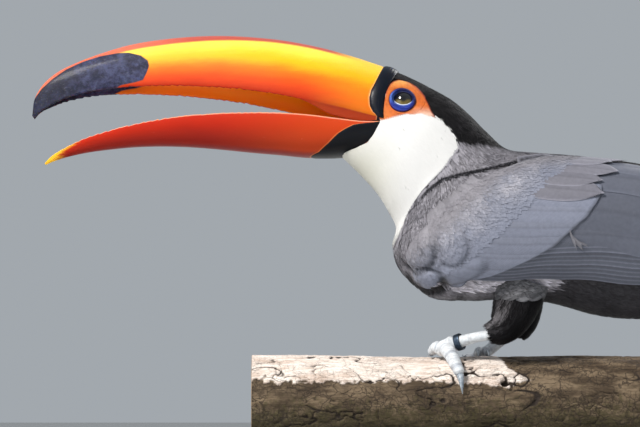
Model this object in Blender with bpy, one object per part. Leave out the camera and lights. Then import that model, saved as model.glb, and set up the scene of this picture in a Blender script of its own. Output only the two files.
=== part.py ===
"""A toco toucan at life size, crouched on a cut length of log that a plain display stand holds up.

Blender 4.5. The bird faces -X and its left side is -Y, with +Z up. The origin is on the floor, midway
between the bill's tip and the tail's end. Sizes are worked out in millimetres and become metres when a
mesh is made.
"""

import math

import bmesh
import bpy
import numpy as np

MM = 0.001
GAP = 0.4  # clear space between neighbouring solids

# ---------------------------------------------------------------- driving dimensions, in millimetres

BASE_LENGTH, BASE_DEPTH, BASE_HEIGHT = 250.0, 150.0, 12.0
BASE_CENTRE_X = -20.0
ROD_RADIUS, ROD_SPACING = 5.0, 130.0
LOG_RADIUS, LOG_AXIS_Z = 28.0, 82.0
LOG_START_X, LOG_END_X = -150.0, 110.0

HEAD_ROLL = math.radians(-11.5)  # the head is tipped to show the underside of the bill on the left
HEAD_ROLL_AXIS_Z = 251.0

# The body from the front of the head to the root of the tail. Each row is one slanting section:
# back x, back z, belly x, belly z, half width, and the exponent of the section's superellipse.
BODY = (
    (-73.0, 271.0, -100.5, 222.0, 19.6, 2.3),
    (-60.5, 265.5, -93.0, 214.5, 20.6, 2.2),
    (-49.0, 259.5, -85.5, 206.5, 21.6, 2.1),
    (-38.0, 253.0, -79.0, 198.5, 22.4, 2.1),
    (-28.0, 244.5, -74.0, 190.5, 23.2, 2.1),
    (-18.5, 235.0, -69.5, 181.5, 25.5, 2.1),
    (-7.5, 226.0, -71.5, 171.0, 31.0, 2.2),
    (7.0, 224.0, -66.5, 157.0, 36.0, 2.2),
    (23.0, 223.0, -50.5, 143.5, 38.5, 2.2),
    (39.0, 221.5, -28.0, 141.0, 39.0, 2.2),
    (56.0, 219.5, -5.5, 142.0, 38.0, 2.2),
    (73.0, 216.5, 18.0, 139.5, 35.5, 2.2),
    (94.0, 210.5, 45.0, 132.5, 31.0, 2.2),
    (113.0, 203.5, 72.0, 131.0, 25.5, 2.2),
    (129.0, 196.0, 98.0, 135.5, 20.0, 2.2),
    (142.0, 189.0, 122.0, 143.0, 16.5, 2.2),
)
HEAD_END, NECK_END, TRUNK_END = 3.0, 6.0, 14.0  # cuts across the body, counted in rows
ROLL_FADES = (2.5, 7.0)  # rows over which the neck takes up the head's roll

# The tail goes on from the body's last rows: centre x, centre z, half height, half width.
TAIL = (
    (113.5, 165.7, 36.0, 20.0),
    (132.0, 166.0, 27.0, 16.5),
    (150.0, 164.0, 17.0, 16.5),
    (168.0, 160.5, 9.5, 17.5),
    (192.0, 156.0, 5.2, 20.0),
    (222.0, 150.5, 3.2, 23.0),
    (250.0, 145.5, 2.0, 24.5),
    (266.0, 142.5, 1.3, 22.5),
    (273.0, 141.3, 0.9, 17.5),
)

# The closed wing lies on the body and, past the rump, on these rows beside the root of the tail.
WING_BED_END = (
    (131.0, 197.0, 98.0, 135.0, 23.0, 2.2),
    (147.0, 189.0, 123.0, 137.0, 21.0, 2.2),
    (163.0, 181.5, 148.0, 138.5, 20.0, 2.2),
    (178.0, 174.0, 170.0, 139.0, 19.5, 2.2),
)
# Along the wing: row on the bed, angle of the upper and the lower edge from the back's ridge, thickness.
WING = (
    (6.25, 74.0, 112.0, 1.4),
    (6.60, 56.0, 138.0, 3.2),
    (7.20, 37.0, 148.0, 4.6),
    (8.20, 25.0, 150.0, 5.4),
    (9.60, 22.0, 144.0, 5.2),
    (11.0, 22.0, 137.0, 4.6),
    (12.5, 24.0, 128.0, 4.0),
    (14.0, 30.0, 118.0, 3.2),
    (15.3, 42.0, 108.0, 2.4),
    (16.4, 58.0, 98.0, 1.6),
    (17.0, 72.0, 88.0, 1.0),
)

# Upper half of the bill: ridge x, ridge z, cutting edge x, cutting edge z, half width.
BILL_UPPER = (
    (-71.7, 270.6, -76.7, 238.0, 20.0),
    (-80.6, 273.8, -85.5, 240.6, 20.0),
    (-94.0, 278.4, -99.5, 244.6, 19.7),
    (-112.0, 283.6, -117.0, 248.6, 18.8),
    (-131.6, 287.6, -135.0, 252.4, 17.6),
    (-148.5, 289.6, -150.5, 255.2, 16.0),
    (-165.5, 290.6, -166.5, 257.2, 14.2),
    (-182.5, 290.3, -182.0, 258.6, 12.4),
    (-201.0, 288.6, -200.0, 259.4, 10.5),
    (-218.5, 285.6, -216.0, 259.4, 8.8),
    (-234.5, 280.8, -231.0, 258.6, 7.2),
    (-248.0, 275.6, -243.5, 256.6, 5.8),
    (-259.0, 270.0, -254.5, 253.6, 4.3),
    (-267.2, 262.8, -263.3, 249.8, 2.8),
    (-272.0, 254.2, -268.6, 246.6, 1.6),
    (-273.2, 244.6, -271.8, 242.6, 0.6),
)
# Lower half: keel x, keel z, cutting edge x, cutting edge z, half width.
BILL_LOWER = (
    (-98.0, 221.4, -77.3, 236.6, 18.6),
    (-107.5, 220.8, -89.5, 236.8, 18.2),
    (-120.5, 220.9, -103.5, 238.8, 17.2),
    (-134.5, 222.2, -120.5, 241.2, 16.0),
    (-150.0, 223.5, -140.0, 242.8, 14.4),
    (-167.0, 225.2, -159.5, 243.2, 12.4),
    (-183.5, 226.5, -179.0, 242.6, 10.6),
    (-200.0, 227.0, -197.0, 241.0, 9.2),
    (-215.5, 226.5, -214.0, 238.2, 7.7),
    (-229.5, 225.1, -229.5, 234.6, 6.2),
    (-242.0, 223.3, -243.0, 230.5, 4.6),
    (-252.5, 220.9, -254.0, 225.6, 3.0),
    (-260.0, 218.5, -261.5, 221.2, 1.7),
    (-265.2, 216.2, -265.8, 217.0, 0.6),
)
BILL_WALL = 1.1
PALATE, TROUGH = 0.42, 0.62  # how far the hollow inside each half reaches, as a share of its height

EYE_CENTRE = (-65.6, 12.5, 248.3)  # the half distance between the two eyes is the middle value
EYE_RADIUS = 7.5

# Feathered thigh, of the left leg: centre x, centre z, half length along the body, half width across it.
THIGH = (
    (0.5, 152.0, 14.0, 12.0),
    (-3.0, 139.5, 13.2, 12.5),
    (-7.0, 130.5, 11.2, 11.0),
    (-12.0, 124.9, 8.8, 8.6),
    (-17.2, 122.8, 6.2, 5.6),
)
THIGH_Y = 19.5
THIGH_SHIFT = {"left": (0.0, 0.0), "right": (15.0, 1.5)}  # x and z at its lower end
SHANK_RADIUS = 2.9

# A foot is set out on the log: x, and the angle round the log from its top towards the bird's outer side.
FEET = {
    "left": {"side": -1, "pad": (-43.5, 13.0), "heel": (-17.0, -19.5, 122.2)},
    "right": {"side": 1, "pad": (-24.0, 42.0), "heel": (-2.0, 20.5, 123.5)},
}
PAD_RADIUS = 4.6
# Each toe from the pad: steps (x, angle, radius), then the claw's tip (x, angle). Two toes lead, over
# the log's outer side, and two trail, over its inner side.
TOES = {
    1: {"path": ((0.5, -3.0, 3.4), (1.5, -19.0, 3.0), (1.0, -31.0, 2.3)), "claw": (0.5, -47.0)},
    2: {"path": ((-1.0, 0.0, 4.2), (-3.6, -4.0, 3.5), (-6.4, -12.0, 2.5)), "claw": (-8.2, -27.0)},
    3: {"path": ((1.0, 1.0, 4.3), (4.0, 19.5, 4.05), (9.0, 42.0, 3.1)), "claw": (10.2, 62.0)},
    4: {"path": ((1.2, -2.0, 3.6), (4.2, -17.0, 3.1), (6.3, -31.0, 2.5)), "claw": (6.2, -53.0)},
}
ANKLE = 7.0  # length of the foot's own part of the leg, from the pad's centre
RING_AWAY, RING_INNER, RING_OUTER, RING_LENGTH = 10.2, 3.85, 4.75, 3.4  # away from the pad's centre


# ---------------------------------------------------------------- curves and sections


def smooth(rows, t):
    """Values at t, counted in rows, on the Catmull-Rom curves that pass through the rows."""
    p = np.asarray(rows, float)
    p = np.vstack([2 * p[0] - p[1], p, 2 * p[-1] - p[-2]])
    t = np.clip(np.asarray(t, float), 0, len(rows) - 1)
    i = np.minimum(t.astype(int), len(rows) - 2)
    f = (t - i)[..., None]
    a, b, c, d = p[i], p[i + 1], p[i + 2], p[i + 3]
    return 0.5 * (2 * b + (c - a) * f + (2 * a - 5 * b + 4 * c - d) * f**2 + (3 * b - a - 3 * c + d) * f**3)


def superellipse(angle, exponent):
    """Sine and cosine of the angle, each drawn out to the given superellipse."""
    s, c = np.sin(angle), np.cos(angle)
    power = 2 / exponent
    return np.sign(s) * np.abs(s) ** power, np.sign(c) * np.abs(c) ** power


def fade(value, start, end):
    """1 before start, 0 after end, and a smooth step between."""
    x = np.clip((end - value) / (end - start), 0, 1)
    return x * x * (3 - 2 * x)


def rolled(points, share=1.0):
    """Points turned about the head's long axis by that share of the head's roll."""
    angle = HEAD_ROLL * np.asarray(share, float)
    y, z = points[..., 1], points[..., 2] - HEAD_ROLL_AXIS_Z
    turned_y = y * np.cos(angle) - z * np.sin(angle)
    turned_z = y * np.sin(angle) + z * np.cos(angle)
    return np.stack([points[..., 0], turned_y, turned_z + HEAD_ROLL_AXIS_Z], axis=-1)


def body_surface(rows, t, angle):
    """Points of the body at row t and at an angle from the ridge of the back, round by the left side."""
    t, angle = np.meshgrid(np.asarray(t, float), np.asarray(angle, float), indexing="ij")
    row = smooth(rows, t)
    s, c = superellipse(angle, row[..., 5])
    back, belly = row[..., 0:2], row[..., 2:4]
    spot = (back + belly) / 2 + (back - belly) / 2 * c[..., None]
    points = np.stack([spot[..., 0], -row[..., 4] * s, spot[..., 1]], axis=-1)
    return rolled(points, fade(t, *ROLL_FADES))


def raised_surface(rows, t, angle, height):
    """The body's surface moved outwards by height, which may be one number or a grid."""
    t, angle, step = np.asarray(t, float), np.asarray(angle, float), 1e-3
    points = body_surface(rows, t, angle)
    along = body_surface(rows, t + step, angle) - body_surface(rows, t - step, angle)
    across = body_surface(rows, t, angle + step) - body_surface(rows, t, angle - step)
    normal = np.cross(across, along)
    normal /= np.linalg.norm(normal, axis=-1, keepdims=True)
    return points + normal * np.asarray(height)[..., None]


def turn(count):
    """Angles of a full turn in equal steps."""
    return np.arange(count) * 2 * math.pi / count


# ---------------------------------------------------------------- meshes


def finish(bm, name, colour, roughness, metallic=0.0, helper=False):
    """Makes an object of the bmesh, in metres, with its own material."""
    bmesh.ops.recalc_face_normals(bm, faces=bm.faces)
    bmesh.ops.scale(bm, vec=(MM, MM, MM), verts=bm.verts)
    mesh = bpy.data.meshes.new(name)
    bm.to_mesh(mesh)
    bm.free()
    mesh.shade_smooth()
    mesh.set_sharp_from_angle(angle=math.radians(50))
    solid = bpy.data.objects.new(name, mesh)
    bpy.context.scene.collection.objects.link(solid)
    if helper:
        solid.hide_render = True
        solid.display_type = "WIRE"
        return solid
    material = bpy.data.materials.new(name)
    material.use_nodes = True
    shader = material.node_tree.nodes["Principled BSDF"]
    shader.inputs["Base Color"].default_value = (*colour, 1.0)
    shader.inputs["Roughness"].default_value = roughness
    shader.inputs["Metallic"].default_value = metallic
    mesh.materials.append(material)
    return solid


def loft(sections, closed=False):
    """A bmesh skinned over sections of equal point counts, capped at both ends or joined end to end."""
    bm = bmesh.new()
    rings = []
    for section in sections:
        corners = [bm.verts.new(point) for point in section]
        rings.append([bm.edges.new((a, b)) for a, b in zip(corners, corners[1:] + corners[:1])])
    for first, second in zip(rings, rings[1:]):
        bmesh.ops.bridge_loops(bm, edges=first + second)
    if closed:
        bmesh.ops.bridge_loops(bm, edges=rings[-1] + rings[0])
    else:
        bmesh.ops.contextual_create(bm, geom=rings[0])
        bmesh.ops.contextual_create(bm, geom=rings[-1])
    bmesh.ops.triangulate(bm, faces=[face for face in bm.faces if len(face.verts) > 4])
    return bm


def tube(path, radii, flat=1.0, sides=10):
    """Sections of a round tube along a path of points, with flat as its height over its width."""
    path = np.asarray(path, float)
    tangent = np.gradient(path, axis=0)
    tangent /= np.linalg.norm(tangent, axis=1, keepdims=True)
    across = np.cross(tangent, (0.0, 0.0, 1.0))
    across /= np.linalg.norm(across, axis=1, keepdims=True)
    up = np.cross(across, tangent)
    angle = turn(sides)[:, None, None]
    ring = np.cos(angle) * across + np.sin(angle) * up * flat
    return np.swapaxes(path + ring * np.asarray(radii)[:, None], 0, 1)


def cut(solid, cutter):
    """Takes the cutter away from the solid."""
    boolean = solid.modifiers.new(f"cut by {cutter.name}", "BOOLEAN")
    boolean.operation = "DIFFERENCE"
    boolean.object = cutter


def join(solid, other):
    """Joins a helper into the solid."""
    boolean = solid.modifiers.new(f"joined to {other.name}", "BOOLEAN")
    boolean.operation = "UNION"
    boolean.object = other


# ---------------------------------------------------------------- the bird

FEATHER_BLACK = (0.03, 0.03, 0.035)
BILL_ORANGE = (0.95, 0.36, 0.03)
LEG_BLUE_GREY = (0.55, 0.60, 0.68)


def body_part(name, start, end, rows_apart, colour, sides=26, grow=0.0, helper=False):
    """One length of the body between two of its rows, cut off square to it."""
    count = max(2, round((end - start) / rows_apart) + 1)
    t = np.linspace(start, end, count)
    sections = raised_surface(BODY, t, turn(sides), np.full((count, sides), grow))
    return finish(loft(sections), name, colour, 0.6, helper=helper)


def bill_wedge():
    """The space that the bill takes at the front of the head, as a cutter."""
    top, corner, chin = BILL_UPPER[0][0:2], BILL_UPPER[0][2:4], BILL_LOWER[0][0:2]
    profile = [
        (top[0] + 1.5, top[1] + 10),
        (corner[0], corner[1] - 0.7),
        (chin[0] - 3.5, chin[1] - 2.6),
        (chin[0] - 40, chin[1] - 3),
        (top[0] - 60, top[1] + 10),
    ]
    sections = [
        rolled(np.array([(x + GAP, side * 40.0, z) for x, z in profile]))
        for side in (-1, 1)
    ]
    return finish(loft(sections), "bill_wedge", (0, 0, 0), 1, helper=True)


def ball(centre, radius, name, colour, roughness, squash=1.0, detail=(14, 9), helper=False):
    """A sphere, or an ellipsoid flattened from above."""
    bm = bmesh.new()
    bmesh.ops.create_uvsphere(bm, u_segments=detail[0], v_segments=detail[1], radius=radius)
    bmesh.ops.scale(bm, vec=(1, 1, squash), verts=bm.verts)
    bmesh.ops.translate(bm, vec=tuple(centre), verts=bm.verts)
    return finish(bm, name, colour, roughness, helper=helper)


def eye_centre(side):
    """Centre of the eye on side -1, the left, or 1, the right, with the head's roll."""
    x, y, z = EYE_CENTRE
    return rolled(np.array([x, side * y, z]))


def bill_half(name, rows, hollow, exponent, steps, colour):
    """One half of the bill: a rounded outer wall, thin cutting edges and a hollow inner side."""
    row = smooth(rows, np.linspace(0, len(rows) - 1, steps))
    outer = np.linspace(0, math.pi, 13)
    inner = np.linspace(math.pi, 0, 7)
    sections = []
    for ridge_x, ridge_z, edge_x, edge_z, width in row:
        wall = min(BILL_WALL, 0.45 * width)
        depth = hollow * min(1.0, width / 6.0)
        c, s = superellipse(outer, exponent)[::-1]
        across = np.concatenate([width * c, (width - wall) * np.cos(inner)])
        height = np.concatenate([s, depth * np.sin(inner)])
        sections.append(
            np.stack(
                [edge_x + (ridge_x - edge_x) * height, across, edge_z + (ridge_z - edge_z) * height],
                axis=-1,
            )
        )
    return finish(loft(rolled(np.array(sections))), name, colour, 0.3)


def wing(name, side, grow=0.0, helper=False):
    """A closed wing: a thin shell that lies on the body and runs on to a point beside the tail."""
    bed = BODY[:14] + WING_BED_END
    along = smooth(WING, np.linspace(0, len(WING) - 1, 17))
    share = np.linspace(0, 1, 9)
    lift = GAP + 0.5
    sections = []
    for t, upper, lower, thickness in along:
        middle, half = math.radians(upper + lower) / 2, math.radians(lower - upper) / 2
        angle = middle + (half + grow / 35) * (2 * share - 1)
        edge = np.sqrt(1 - (2 * share - 1) ** 4)
        height = lift + 0.7 + (thickness - 0.7) * edge + 20 * grow
        outside = raised_surface(bed, [t], angle, height[None])[0]
        inside = raised_surface(bed, [t], angle, np.full((1, len(share)), lift - 10 * grow))[0]
        sections.append(np.concatenate([outside, inside[::-1]]))
    sections = np.array(sections)
    if side > 0:  # the right wing: the same shell seen in the mirror
        sections[..., 1] *= -1
    return finish(loft(sections), name, FEATHER_BLACK, 0.5, helper=helper)


def tail():
    """The root of the tail with its coverts, and the closed fan of tail feathers."""
    rows = smooth(TAIL, np.linspace(0, len(TAIL) - 1, 14))
    s, c = superellipse(turn(22), 2.3)
    first = body_surface(BODY, [TRUNK_END], turn(22))[0] + (GAP, 0, 0)
    sections = [first]
    for x, z, height, width in rows[2:]:
        lean = fade(x, 113.0, 170.0) * 0.45
        sections.append(np.stack([x + lean * height * c, -width * s, z + height * c], axis=-1))
    return finish(loft(sections), "tail", FEATHER_BLACK, 0.5)


def thigh(side_name, side, cutters):
    """The feathered thigh, which comes out of the flank and covers the top of the shank."""
    rows = smooth(THIGH, np.linspace(0, len(THIGH) - 1, 10))
    rows[:, 0:2] += np.linspace(0, 1, len(rows))[:, None] * THIGH_SHIFT[side_name]
    path = np.stack([rows[:, 0], np.full(len(rows), side * THIGH_Y), rows[:, 1]], axis=-1)
    tangent = np.gradient(path, axis=0)
    tangent /= np.linalg.norm(tangent, axis=1, keepdims=True)
    forward = np.cross(tangent, (0.0, 1.0, 0.0))
    angle = turn(18)[:, None]
    sections = [
        centre + np.cos(angle) * front * length + np.sin(angle) * np.array((0.0, 1.0, 0.0)) * width
        for centre, front, (_, _, length, width) in zip(path, forward, rows)
    ]
    solid = finish(loft(sections), f"thigh_{side_name}", FEATHER_BLACK, 0.7)
    for cutter in cutters:
        cut(solid, cutter)
    return solid


# ---------------------------------------------------------------- the feet, set out on the log


def log_radius(x, angle):
    """The log's radius, in gentle swells along it and round it, at an angle from its top."""
    return LOG_RADIUS + 0.5 * np.sin(x / 23.0 + 0.6) + 0.35 * np.sin(2 * angle + x / 41.0)


def on_log(x, degrees, height):
    """A point at that height over the bark, with the angle positive towards -Y."""
    angle = np.radians(degrees)
    reach = log_radius(x, angle) + height
    return np.stack([x + 0 * reach, -reach * np.sin(angle), LOG_AXIS_Z + reach * np.cos(angle)], axis=-1)


def toe_path(foot, toe, steps=6):
    """Centre line and radii of one toe, which arches a little between its joints."""
    pad_x, pad_angle = foot["pad"]
    rows = smooth(TOES[toe]["path"], np.linspace(0, 2, steps))
    degrees = -foot["side"] * (pad_angle + rows[:, 1])
    arch = 1.6 * np.sin(np.linspace(0, math.pi, steps)) + np.linspace(1.2, 0, steps)
    return on_log(pad_x + rows[:, 0], degrees, rows[:, 2] + GAP + arch), rows[:, 2]


def toe_clearance(name, foot, toe, first=0):
    """The toe with the gap round it, as a cutter for what touches it."""
    path, radii = toe_path(foot, toe)
    heading = (path[-1] - path[-2]) / np.linalg.norm(path[-1] - path[-2])
    path = np.vstack([path[first:], path[-1] + heading * GAP])
    radii = np.append(radii[first:], radii[-1]) + GAP
    return finish(loft(tube(path, radii, sides=9)), name, (0, 0, 0), 1, helper=True)


def claw(name, foot, toe):
    """A curved claw from the toe's end down to the bark."""
    pad_x, pad_angle = foot["pad"]
    end_x, end_angle, end_radius = TOES[toe]["path"][-1]
    tip_x, tip_angle = TOES[toe]["claw"]
    share = np.linspace(0, 1, 6)
    x = pad_x + end_x + (tip_x - end_x) * share
    degrees = -foot["side"] * (pad_angle + end_angle + (tip_angle - end_angle) * share)
    radius = 0.5 + (0.82 * end_radius - 0.5) * (1 - share**1.4)
    height = radius + GAP + (end_radius - radius[0]) * (1 - share) + 1.5 * np.sin(share * math.pi)
    line = on_log(x, degrees, height)
    solid = finish(loft(tube(line, radius, sides=6)), name, (0.2, 0.21, 0.24), 0.35)
    cut(solid, toe_clearance(f"{name}_clearance", foot, toe))


def shank_line(spec, pad_centre, start, end, steps):
    """Centre line and radii of a shank between two distances from the pad's centre."""
    heel = np.array(spec["heel"])
    reach = np.linalg.norm(heel - pad_centre)
    away = np.linspace(start, end if end else reach, steps)
    share = (away / reach)[:, None]
    path = pad_centre + (heel - pad_centre) * share + (0, 0, 1.2) * np.sin(share * math.pi)
    return path, SHANK_RADIUS + 1.3 * fade(away, 5.0, 8.5) + 0.5 * fade(away, 10.0, 22.0)


def foot(side_name, spec):
    """Pad, ankle and four toes as one piece: two toes lead, and two trail, as on every toucan."""
    pad_x, pad_angle = spec["pad"]
    centre = on_log(np.array(pad_x), -spec["side"] * pad_angle, PAD_RADIUS + GAP + 0.8)
    solid = ball(centre, PAD_RADIUS, f"foot_{side_name}", LEG_BLUE_GREY, 0.5, detail=(12, 8))
    ankle = loft(tube(*shank_line(spec, centre, 1.0, ANKLE, 4), sides=12))
    join(solid, finish(ankle, f"ankle_{side_name}", LEG_BLUE_GREY, 0.5, helper=True))
    for toe in TOES:
        path, radii = toe_path(spec, toe)
        name = f"toe_{side_name}_{toe}"
        join(solid, finish(loft(tube(path, radii, sides=9)), name, LEG_BLUE_GREY, 0.5, helper=True))
        claw(f"claw_{side_name}_{toe}", spec, toe)
    return centre


def shank(side_name, spec, pad_centre):
    """The bare shank from the ankle up into the thigh feathers, and the cutter that makes way for it there."""
    path, radii = shank_line(spec, pad_centre, ANKLE + GAP + 0.2, None, 7)
    finish(loft(tube(path, radii, sides=12)), f"shank_{side_name}", LEG_BLUE_GREY, 0.5)
    longer = np.vstack([path, path[-1] + (path[-1] - path[-2]) * 0.2])
    hole = tube(longer, np.append(radii, radii[-1]) + GAP, sides=12)
    return finish(loft(hole), f"shank_clearance_{side_name}", (0, 0, 0), 1, helper=True)


def leg_ring(spec, pad_centre):
    """The loose identity band round the left shank: a plain metal ring with no marks."""
    path, _ = shank_line(spec, pad_centre, RING_AWAY - 1, RING_AWAY + 1, 3)
    centre, heading = path[1], (path[2] - path[0]) / np.linalg.norm(path[2] - path[0])
    corners = ((-0.5, RING_INNER), (-0.5, RING_OUTER), (0.5, RING_OUTER), (0.5, RING_INNER))
    side = np.array((0.0, 1.0, 0.0))
    side -= heading * (side @ heading)
    side /= np.linalg.norm(side)
    up = np.cross(heading, side)
    sections = [
        [
            centre + heading * share * RING_LENGTH + (side * math.cos(angle) + up * math.sin(angle)) * radius
            for share, radius in corners
        ]
        for angle in turn(18)
    ]
    return finish(loft(sections, closed=True), "leg_ring", (0.25, 0.33, 0.45), 0.35, 0.8)


# ---------------------------------------------------------------- the perch and its stand


def perch_log():
    """A short cut length of weathered log."""
    x = np.linspace(LOG_START_X, LOG_END_X, 11)
    angle = turn(26)
    sections = [
        np.stack([np.full_like(angle, at), *(log_radius(at, angle) * (-np.sin(angle), np.cos(angle)))], axis=-1)
        + (0, 0, LOG_AXIS_Z)
        for at in x
    ]
    return finish(loft(sections), "perch_log", (0.42, 0.33, 0.24), 0.9)


def stand():
    """A flat base and two short rods up to the log."""
    bm = bmesh.new()
    bmesh.ops.create_cube(bm, size=1.0)
    bmesh.ops.scale(bm, vec=(BASE_LENGTH, BASE_DEPTH, BASE_HEIGHT), verts=bm.verts)
    bmesh.ops.translate(bm, vec=(BASE_CENTRE_X, 0, BASE_HEIGHT / 2), verts=bm.verts)
    upright = [edge for edge in bm.edges if abs(edge.verts[0].co.z - edge.verts[1].co.z) > 1]
    bmesh.ops.bevel(bm, geom=upright, offset=12.0, segments=5, profile=0.5, affect="EDGES")
    finish(bm, "stand_base", (0.05, 0.05, 0.05), 0.4)
    low = BASE_HEIGHT + GAP
    for number, offset in enumerate((-0.5, 0.5), start=1):
        x = BASE_CENTRE_X + offset * ROD_SPACING
        high = LOG_AXIS_Z - log_radius(x, math.pi) - GAP
        bm = bmesh.new()
        bmesh.ops.create_cone(
            bm, cap_ends=True, segments=20, radius1=ROD_RADIUS, radius2=ROD_RADIUS, depth=high - low
        )
        bmesh.ops.translate(bm, vec=(x, 0, (high + low) / 2), verts=bm.verts)
        finish(bm, f"stand_rod_{number}", (0.6, 0.6, 0.62), 0.3, 1.0)


# ---------------------------------------------------------------- assembly

for leftover in list(bpy.data.objects):
    bpy.data.objects.remove(leftover)

half_gap = GAP / 50  # rows are about 10 mm apart along the middle of the body
head = body_part("head", 0.0, HEAD_END - half_gap, 0.5, FEATHER_BLACK)
body_part("neck", HEAD_END + half_gap, NECK_END - half_gap, 0.6, (0.9, 0.9, 0.85))
body_part("trunk", NECK_END + half_gap, TRUNK_END, 0.7, FEATHER_BLACK)
trunk_cutter = body_part("trunk_clearance", 5.0, 15.0, 0.5, (0, 0, 0), grow=GAP + 0.2, helper=True)

cut(head, bill_wedge())
for side_name, side in (("left", -1), ("right", 1)):
    centre = eye_centre(side)
    ball(centre, EYE_RADIUS, f"eye_{side_name}", (0.02, 0.015, 0.01), 0.05)
    cut(head, ball(centre, EYE_RADIUS + GAP, f"socket_{side_name}", (0, 0, 0), 1, helper=True))

bill_half("bill_upper", BILL_UPPER, PALATE, 2.3, 18, BILL_ORANGE)
bill_half("bill_lower", BILL_LOWER, TROUGH, 2.1, 16, BILL_ORANGE)

for side_name, side in (("left", -1), ("right", 1)):
    wing(f"wing_{side_name}", side)
    pad_centre = foot(side_name, FEET[side_name])
    shank_hole = shank(side_name, FEET[side_name], pad_centre)
    wing_cutter = wing(f"wing_clearance_{side_name}", side, grow=GAP, helper=True)
    thigh(side_name, side, (trunk_cutter, wing_cutter, shank_hole))
    if side_name == "left":
        leg_ring(FEET[side_name], pad_centre)
tail()

perch_log()
stand()
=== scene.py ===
"""Looks of a life-size toco toucan, crouched with its bill open on a cut log that a stand holds up."""

import math

import bpy
import numpy as np
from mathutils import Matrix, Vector


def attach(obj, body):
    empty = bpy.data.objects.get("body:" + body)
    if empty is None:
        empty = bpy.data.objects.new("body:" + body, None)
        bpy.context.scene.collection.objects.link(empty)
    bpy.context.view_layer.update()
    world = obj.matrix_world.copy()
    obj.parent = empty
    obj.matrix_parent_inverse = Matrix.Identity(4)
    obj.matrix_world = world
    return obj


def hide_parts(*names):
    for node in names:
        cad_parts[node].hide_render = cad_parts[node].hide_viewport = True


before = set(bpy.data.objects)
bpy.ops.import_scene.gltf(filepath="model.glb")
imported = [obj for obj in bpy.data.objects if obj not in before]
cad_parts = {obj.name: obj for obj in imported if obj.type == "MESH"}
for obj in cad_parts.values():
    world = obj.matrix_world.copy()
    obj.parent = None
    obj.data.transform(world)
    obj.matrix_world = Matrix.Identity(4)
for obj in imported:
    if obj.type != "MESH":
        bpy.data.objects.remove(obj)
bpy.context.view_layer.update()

# ---------------------------------------------------------------- the display stand
# A flat wooden base, painted satin black with eased edges, carries two short steel rods that are
# screwed into it from below and hold up the log.


class Value:
    """A shader socket. Sums written with it in Python add Math nodes to its material."""

    def __init__(self, tree, socket):
        self.tree, self.socket = tree, socket

    def node(self, kind, settings=None, inputs=None, output=0):
        """Adds one node: its settings first, then the values or links of its sockets."""
        node = self.tree.nodes.new(kind)
        for name, setting in (settings or {}).items():
            setattr(node, name, setting)
        for name, value in (inputs or {}).items():
            if isinstance(value, Value):
                self.tree.links.new(value.socket, node.inputs[name])
            elif isinstance(value, tuple) and node.inputs[name].type == "RGBA":
                node.inputs[name].default_value = (*value, 1.0)
            else:
                node.inputs[name].default_value = value
        return Value(self.tree, node.outputs[output])

    def math(self, operation, *values):
        """A Math node on these values."""
        return self.node("ShaderNodeMath", {"operation": operation}, dict(enumerate(values)))

    def __add__(self, other):
        return self.math("ADD", self, other)

    def __sub__(self, other):
        return self.math("SUBTRACT", self, other)

    def __rsub__(self, other):
        return self.math("SUBTRACT", other, self)

    def __mul__(self, other):
        return self.math("MULTIPLY", self, other)

    def __pow__(self, other):
        return self.math("POWER", self, other)

    __radd__, __rmul__ = __add__, __mul__

    def sine(self):
        """Sine of this angle in radians."""
        return self.math("SINE", self)

    def absolute(self):
        """This value without its sign."""
        return self.math("ABSOLUTE", self)

    def step(self, low, high):
        """0 below low, 1 above high and smooth between, or the reverse where low is the higher."""
        sockets = {"Value": self, "From Min": low, "From Max": high}
        return self.node("ShaderNodeMapRange", {"interpolation_type": "SMOOTHSTEP"}, sockets)

    def mix(self, first, second, blend="MIX"):
        """The colour first where this value is 0, and second, or first blended with it, where it is 1."""
        settings = {"data_type": "RGBA", "blend_type": blend}
        return self.node("ShaderNodeMix", settings, {0: self, 6: first, 7: second}, 2)

    def vector(self, operation, other):
        """A Vector Math node on this vector and another."""
        return self.node("ShaderNodeVectorMath", {"operation": operation}, {0: self, 1: other})

    def stretched(self, x, y, z):
        """This vector with each component multiplied by its own factor."""
        return self.vector("MULTIPLY", (x, y, z))

    def part(self, axis):
        """One component of this vector."""
        return self.node("ShaderNodeSeparateXYZ", None, {0: self}, "XYZ".index(axis))

    def noise(self, size, detail=3.0, roughness=0.55):
        """Cloudy noise from 0 to 1 with patches of that size."""
        sockets = {"Vector": self, "Scale": 1 / size, "Detail": detail, "Roughness": roughness}
        return self.node("ShaderNodeTexNoise", None, sockets)

    def cells(self, size):
        """Distance to the nearest edge of cells of that size."""
        sockets = {"Vector": self, "Scale": 1 / size}
        return self.node("ShaderNodeTexVoronoi", {"feature": "DISTANCE_TO_EDGE"}, sockets)

    def bump(self, millimetres):
        """A normal from this height, which counts in so many millimetres."""
        return self.node("ShaderNodeBump", None, {"Height": self, "Distance": millimetres * 0.001})


def paint(name, recipe=None, **constants):
    """A Principled material. Its constants go straight on the sockets; recipe takes the place on the piece,
    in millimetres, and gives the values that vary, by the name of their socket."""
    made = bpy.data.materials.new(name)
    made.use_nodes = True
    tree = made.node_tree
    shader = tree.nodes["Principled BSDF"]
    for socket, constant in constants.items():
        target = shader.inputs[socket.replace("_", " ")]
        target.default_value = (*constant, 1.0) if target.type == "RGBA" else constant
    if recipe:
        coordinates = Value(tree, tree.nodes.new("ShaderNodeTexCoord").outputs["Object"])
        for socket, value in recipe(coordinates.stretched(1000.0, 1000.0, 1000.0)).items():
            tree.links.new(value.socket, shader.inputs[socket])
    return made


def vectors(*components):
    """Points, colours or UVs from their components, each spread over the grid that all of them make."""
    return np.stack(np.broadcast_arrays(*components), axis=-1)


def circle(steps):
    """Even angles once round, without the last one, which is the first again."""
    return np.arange(steps) * 2 * math.pi / steps


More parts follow.
